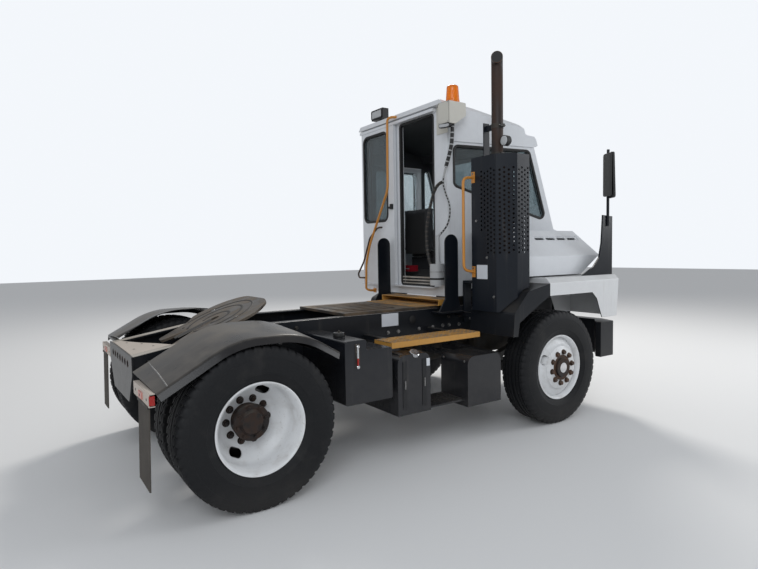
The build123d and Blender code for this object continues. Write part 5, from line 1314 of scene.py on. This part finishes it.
# Black bars sunk in the plate: painted shade in its grooves.
for radius, first, last, thick in ((0.120, 52, 308, 0.030), (0.232, 22, 338, 0.026), (0.320, 62, 298, 0.014)):
    turns = [radians(first + (last - first) * i / 48) for i in range(49)]
    path = [on_plate(0.020 - radius * cos(t), radius * sin(t), RING_LIFT - thick) for t in turns]
    coupler.bar([p for p in path if abs(p.y) < 0.41], thick, seal_rubber, 12)
# The throat: a black strip of painted shade for the open slot.
coupler.plate([(-0.330, -0.030), (-0.015, -0.034), (-0.015, 0.034), (-0.330, 0.030)],
              lambda u, v, face: on_plate(u, v, RING_LIFT * face - 0.0005), seal_rubber)
for side, _ in HAND:
    jaw = [(-0.310, side * 0.034), (-0.020, side * 0.038), (-0.020, side * 0.058), (-0.310, side * 0.050)]
    coupler.plate(jaw, lambda u, v, face: on_plate(u, v, 0.0022 * face), greasy_steel)
    fitting = [(0, 0.017), (0.0015, 0.016), (0.0015, 0.007), (0, 0.006)]
    coupler.turned(on_plate(0.105, side * 0.300, 0.0), over, fitting, bolt_steel, 20)
    coupler.turned(on_plate(-0.200, side * 0.190, 0.0), over, [(0, 0.012), (0.003, 0.010), (0.004, 0)], cast_iron, 16)
coupler.done("saddle")

# %% [markdown]
# ## Tail
# The lamp bars are peach-coloured with dust and carry a pink lens each; their drilled holes are black discs of painted
# shade. Ribbed flaps hang from them. In the photograph the right bar stands further to the rear than the left one, so
# each side has its own numbers.

# %% Lamp bars and flaps
BAR_LOW, BAR_HIGH, BAR_OUT = 0.770, 0.848, 1.170
FLAP_LOW, FLAP_TALL, RIBS = 0.276, 0.510, 11
# For the left and the right: the bar's back face and inner end, and the flap's inner edge.
bars = ((1, -2.172, 0.700, 0.940), (-1, -2.256, 0.740, 0.860))
tail = Shape("tail_lamp_bars")
flaps = Shape("ribbed_flaps")
for side, back, inner, near in bars:
    def on_bar(x0, y0, z0, x1, y1, z1, finish, edge, back=back, side=side):
        tail.block((back + x0, side * y0, z0), (back + x1, side * y1, z1), finish, edge)

    on_bar(0, inner, BAR_LOW, 0.006, BAR_OUT, BAR_HIGH, pale_bar, 0.0015)
    on_bar(0.005, inner, BAR_HIGH - 0.006, 0.035, BAR_OUT, BAR_HIGH, pale_bar, 0.0015)
    on_bar(0.005, inner, BAR_LOW, 0.035, BAR_OUT, BAR_LOW + 0.005, pale_bar, 0.0015)
    on_bar(-0.008, 0.915, 0.786, 0.001, 1.010, 0.826, pink_lens, 0.005)
    # Black discs for the drilled holes: painted shade.
    for y, away in ((0.800, 0.0002), (0.962, 0.0082), (1.110, 0.0002)):
        hole = [(0, 0.009), (0.0008, 0.0086), (0.0009, 0)]
        tail.turned((back - away, side * y, 0.806), (-1, 0, 0), hole, seal_rubber, 14)
    on_bar(0.001, 1.168, 0.782, 0.032, 1.176, 0.836, red_lens, 0.003)
    wide = (1.150 - near) / RIBS
    profile = []
    for rib in range(RIBS):
        start = near + wide * rib
        profile += [(start, 0.004), (start + wide * 0.35, 0.0), (start + wide * 0.65, 0.0)]
    profile += [(1.150, 0.004), (1.150, 0.009), (near, 0.009)]

    def hung(u, v, face, side=side, back=back):
        return (back - 0.010 + v + 0.012 * face, side * u, FLAP_LOW + FLAP_TALL * face)

    flaps.plate(profile, hung, flap_rubber)
    on_bar(-0.004, near, 0.758, 0.010, 1.150, 0.774, cast_iron, 0.002)
flaps.done("chassis", "mud_flaps")

# %% [markdown]
# ## Tail plate
# A pale bar along the end of the right fender's sheet is a painted highlight. A dusty plate with four holes, drawn as
# black discs of painted shade, closes the tail between the ramps, on their slope, and rust rings the tow holes below
# it.

# %% Painted highlight, tail plate and its holes
RAMP_SLOPE = 0.1605


def ramp_top(x):
    return (x + 2.2) * RAMP_SLOPE


# A pale steel bar where the right fender's sheet ends: a painted highlight.
tail.bar([(-2.140, -0.625, 0.9310), (-2.147, -0.900, 0.9130), (-2.157, -1.187, 0.8865)], 0.0042, bolt_steel, 8)
outline = [(-2.196, -0.346), (-2.196, 0.346), (-2.150, 0.346), (-2.060, 0.050), (-1.985, -0.150), (-1.925, -0.346)]
tail.plate(outline, lambda u, v, face: (u, v, 0.9415 + ramp_top(u) + 0.004 * face), pale_bar)
# Black discs for the plate's four holes: painted shade.
for x, y in ((-2.14, -0.16), (-2.06, -0.02), (-2.02, -0.22), (-2.13, 0.18)):
    tail.turned((x, y, 0.9457 + ramp_top(x)), (0, 0, 1), [(0, 0.010), (0.0006, 0.0098), (0.0007, 0)], seal_rubber, 14)
rust_ring = [(0, 0.0265), (0.0012, 0.0255), (0.0012, 0.0222)]
for step in range(-3, 4):
    tail.turned((-2.2122, step / 10, 0.880), (-1, 0, 0), rust_ring, rusty_hub, 24)
tail.done("chassis", "tail_lamps")

# %% [markdown]
# ## Rear fenders
# In the photograph the left fender's sheet ends sooner than the right one's, which goes on to its
# lamp bar. A copy of the fenders is cut off there on the left and closed again.

# %% Trim the left fender
LEFT_END = -2.120
fender_mesh = bpy.data.meshes.new("rear_fenders.trimmed")
work = joined_copy("rear_fenders")
left_side = [v for v in work.verts if v.co.y > 0]
left_side += [item for items in (work.edges, work.faces) for item in items if sum(v.co.y for v in item.verts) > 0]
bmesh.ops.bisect_plane(work, geom=left_side, plane_co=(LEFT_END, 0, 0), plane_no=(-1, 0, 0), clear_outer=True)
bmesh.ops.holes_fill(work, edges=[e for e in work.edges if e.is_boundary], sides=200)
for face in work.faces:
    face.smooth = True
work.to_mesh(fender_mesh)
work.free()
fender_mesh.set_sharp_from_angle(angle=radians(30))
fender_mesh.materials.append(black_fender)
fenders = linked("rear_fenders.trimmed", fender_mesh)
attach(fenders, "chassis")
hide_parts("rear_fenders")
print("fenders", len(fender_mesh.polygons), "faces")

# %% [markdown]
# ## Wiper
# One arm and its blade rest on the windscreen, a little above the lower rubber.

# %% Wiper
wiper = Shape("windscreen_wiper")
out = Vector((cos(LEAN), 0, sin(LEAN)))


def off_screen(y, up, lift):
    return Vector(screen(y, up)) + out * lift


arm = [off_screen(0.25, 0.030, 0.022), off_screen(0.30, 0.120, 0.028), off_screen(0.52, 0.420, 0.014)]
wiper.bar(arm, 0.006, seal_rubber, 8)
wiper.bar([off_screen(0.26, 0.280, 0.009), off_screen(0.78, 0.560, 0.009)], 0.006, seal_rubber, 8)
pivot = [(-0.004, 0.020), (0.018, 0.018), (0.026, 0.012), (0.026, 0)]
wiper.turned(off_screen(0.25, 0.030, 0), out, pivot, seal_rubber, 20)
wiper.done("cab")

# %% [markdown]
# ## Floor, backdrop and light
# A plain pale floor and a soft studio: the main lamp stands high at the front left, where the
# photograph's sun is, so the near side lies in soft shade, lit by a weaker lamp and an even sky.
# Only what the camera sees, straight or through glass, gets the sky's full brightness, so the
# object isn't flooded by it.

# %% Studio
stage = Shape("studio_floor")
floor_finish = Finish("studio_floor_paint")
floor_finish.feed("Base Color", (0.80, 0.80, 0.80))
floor_finish.feed("Roughness", 0.9)
stage.part([(-40, -40, 0), (40, -40, 0), (40, 40, 0), (-40, 40, 0)], [(0, 1, 2, 3)], floor_finish.material)
linked("studio_floor", stage.mesh())

SKY_LIGHT, SKY_SEEN = 0.50, 1.0
world = bpy.data.worlds.new("studio")
bpy.context.scene.world = world
world.use_nodes = True
nodes, links = world.node_tree.nodes, world.node_tree.links
sky = nodes["Background"]
sky.inputs["Color"].default_value = (0.90, 0.93, 0.97, 1)
path = nodes.new("ShaderNodeLightPath")
seen = nodes.new("ShaderNodeMath")
seen.operation = "MAXIMUM"
links.new(path.outputs["Is Camera Ray"], seen.inputs[0])
links.new(path.outputs["Is Transmission Ray"], seen.inputs[1])
power = nodes.new("ShaderNodeMapRange")
power.inputs["To Min"].default_value = SKY_LIGHT
power.inputs["To Max"].default_value = SKY_SEEN
links.new(seen.outputs[0], power.inputs["Value"])
links.new(power.outputs[0], sky.inputs["Strength"])


def lamp(name, place, target, size, watts, colour):
    data = bpy.data.lights.new(name, "AREA")
    data.shape = "DISK"
    data.size = size
    data.energy = watts
    data.color = colour
    lit = linked(name, data)
    lit.location = place
    lit.rotation_euler = (Vector(target) - Vector(place)).to_track_quat("-Z", "Y").to_euler()


lamp("key_lamp", (5.5, 6.0, 8.5), (0, 0, 1.0), 3.0, 620, (1.0, 0.97, 0.92))
lamp("fill_lamp", (-5.5, -7.0, 5.5), (0, 0, 1.0), 5.0, 230, (0.92, 0.96, 1.0))
lamp("front_lamp", (8.0, -5.0, 4.0), (0.5, 0, 1.2), 4.0, 150, (0.96, 0.98, 1.0))
bpy.context.scene.view_settings.view_transform = "Standard"

# %% [markdown]
# ## Air hose
# A slack hose hangs from the relay box to the dryer's elbow. It is a NURBS curve on the same
# points as the solid's route, with a round section, because that is how a real hose lies: one
# smooth line, with no corner anywhere.


# %% A line that hangs
def hanging_line(name, route, thickness):
    """The curve with its thickness, its smooth line as points, and its length."""
    data = bpy.data.curves.new(name, "CURVE")
    data.dimensions = "3D"
    spline = data.splines.new("NURBS")
    spline.points.add(len(route) - 1)
    for point, place in zip(spline.points, route):
        point.co = (*place, 1)
    spline.order_u = 3
    spline.use_endpoint_u = True
    spline.resolution_u = 12
    reader = linked("line_reader", data)
    bare = applied(reader)
    line = [v.co.copy() for v in bare.vertices]
    bpy.data.objects.remove(reader)
    bpy.data.meshes.remove(bare)
    data.bevel_depth = thickness / 2
    data.bevel_resolution = 4
    data.use_fill_caps = True
    data.materials.append(hose_rubber)
    piece = linked(name, data)
    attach(piece, "cab")
    length = sum((b - a).length for a, b in zip(line, line[1:]))
    print(name, round(length, 3), "m")
    return piece, line, round(length, 3)


def along_line(line):
    """Each point of a line, with its way on and how far along it lies."""
    travelled = 0.0
    for a, b in zip(line, line[1:]):
        travelled += (b - a).length
        yield b, b - a, travelled


# %% [markdown]
# ## Sleeve and ties
# A thick sleeve covers the hose's upper part, a thinner pale one follows, and ties go round sleeve and
# hose. All of them are set on the curve's own line, so they lie round the hose wherever it goes.

# %% The hose, its sleeve and ties
SLEEVE_END, NECK_END = 0.40, 0.50
hose_route = [(-0.034, -0.466, 2.823), (-0.034, -0.466, 2.680), (-0.042, -0.428, 2.540), (-0.054, -0.380, 2.410),
              (-0.064, -0.352, 2.290), (-0.068, -0.395, 2.180), (-0.064, -0.450, 2.080), (-0.068, -0.462, 1.960),
              (-0.078, -0.4172, 1.8463), (-0.078, -0.340, 1.800)]
hose_route = [(CAB_REAR + x, y, z) for x, y, z in hose_route]
hose, hose_line, hose_length = hanging_line("air_hose_line", hose_route, 0.016)
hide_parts("air_hose")
wraps = Shape("hose_wraps")
spots = list(along_line(hose_line))
sleeve = [spot for spot in spots if spot[2] < SLEEVE_END]
neck = [spot for spot in spots if SLEEVE_END <= spot[2] < NECK_END]
lower = [spot for spot in spots if spot[2] >= NECK_END]
wraps.bar([spot for spot, way, far in sleeve], 0.018, hose_rubber, 12)
wraps.bar([spot for spot, way, far in neck], 0.0105, wrap_pale, 12)
for stretch, radius, gap in ((sleeve, 0.018, 0.050), (lower, 0.010, 0.034)):
    mark = 0.0
    for spot, way, far in stretch:
        if far > mark:
            mark = max(mark, far) + gap
            ring = [(-0.007, radius * 0.9), (-0.005, radius * 1.08), (0.005, radius * 1.08), (0.007, radius * 0.9)]
            wraps.turned(spot, way, ring, wrap_pale, 12)
wraps_piece = wraps.done("cab")

# %% [markdown]
# ## Wrapped bundle
# A thicker bundle of lines, wrapped with tape, branches off at the hose's bend and hangs down to
# the dryer in front of the doorway's edge. Two bands hold the dryer.

# %% The bundle and its tape
bundle_route = [(0.647, -0.352, 2.292), (0.641, -0.300, 2.282), (0.636, -0.240, 2.220), (0.634, -0.196, 2.120),
                (0.634, -0.150, 1.990), (0.634, -0.115, 1.850), (0.636, -0.110, 1.720), (0.640, -0.125, 1.600),
                (0.644, -0.150, 1.500), (0.640, -0.205, 1.430)]
bundle, bundle_line, bundle_length = hanging_line("wrapped_bundle", bundle_route, 0.030)
tape = Shape("bundle_tape")
turn_of_tape = [(-0.008, 0.0145), (-0.006, 0.0168), (0.006, 0.0168), (0.008, 0.0145)]
mark = 0.03
for spot, way, far in along_line(bundle_line):
    if far > mark:
        mark += 0.047
        tape.turned(spot, way, turn_of_tape, flap_rubber, 14)
tape_piece = tape.done("cab")
dryer = Shape("dryer_band")
for z, tall, radius, finish in ((1.345, 0.018, 0.0712, seal_rubber), (1.420, 0.006, 0.0722, bolt_steel)):
    band = [(0, 0.0700), (0, radius), (tall, radius), (tall, 0.0700)]
    dryer.turned((0.633, -0.270, z), (0, 0, 1), band, finish, 40)
dryer.done("cab")
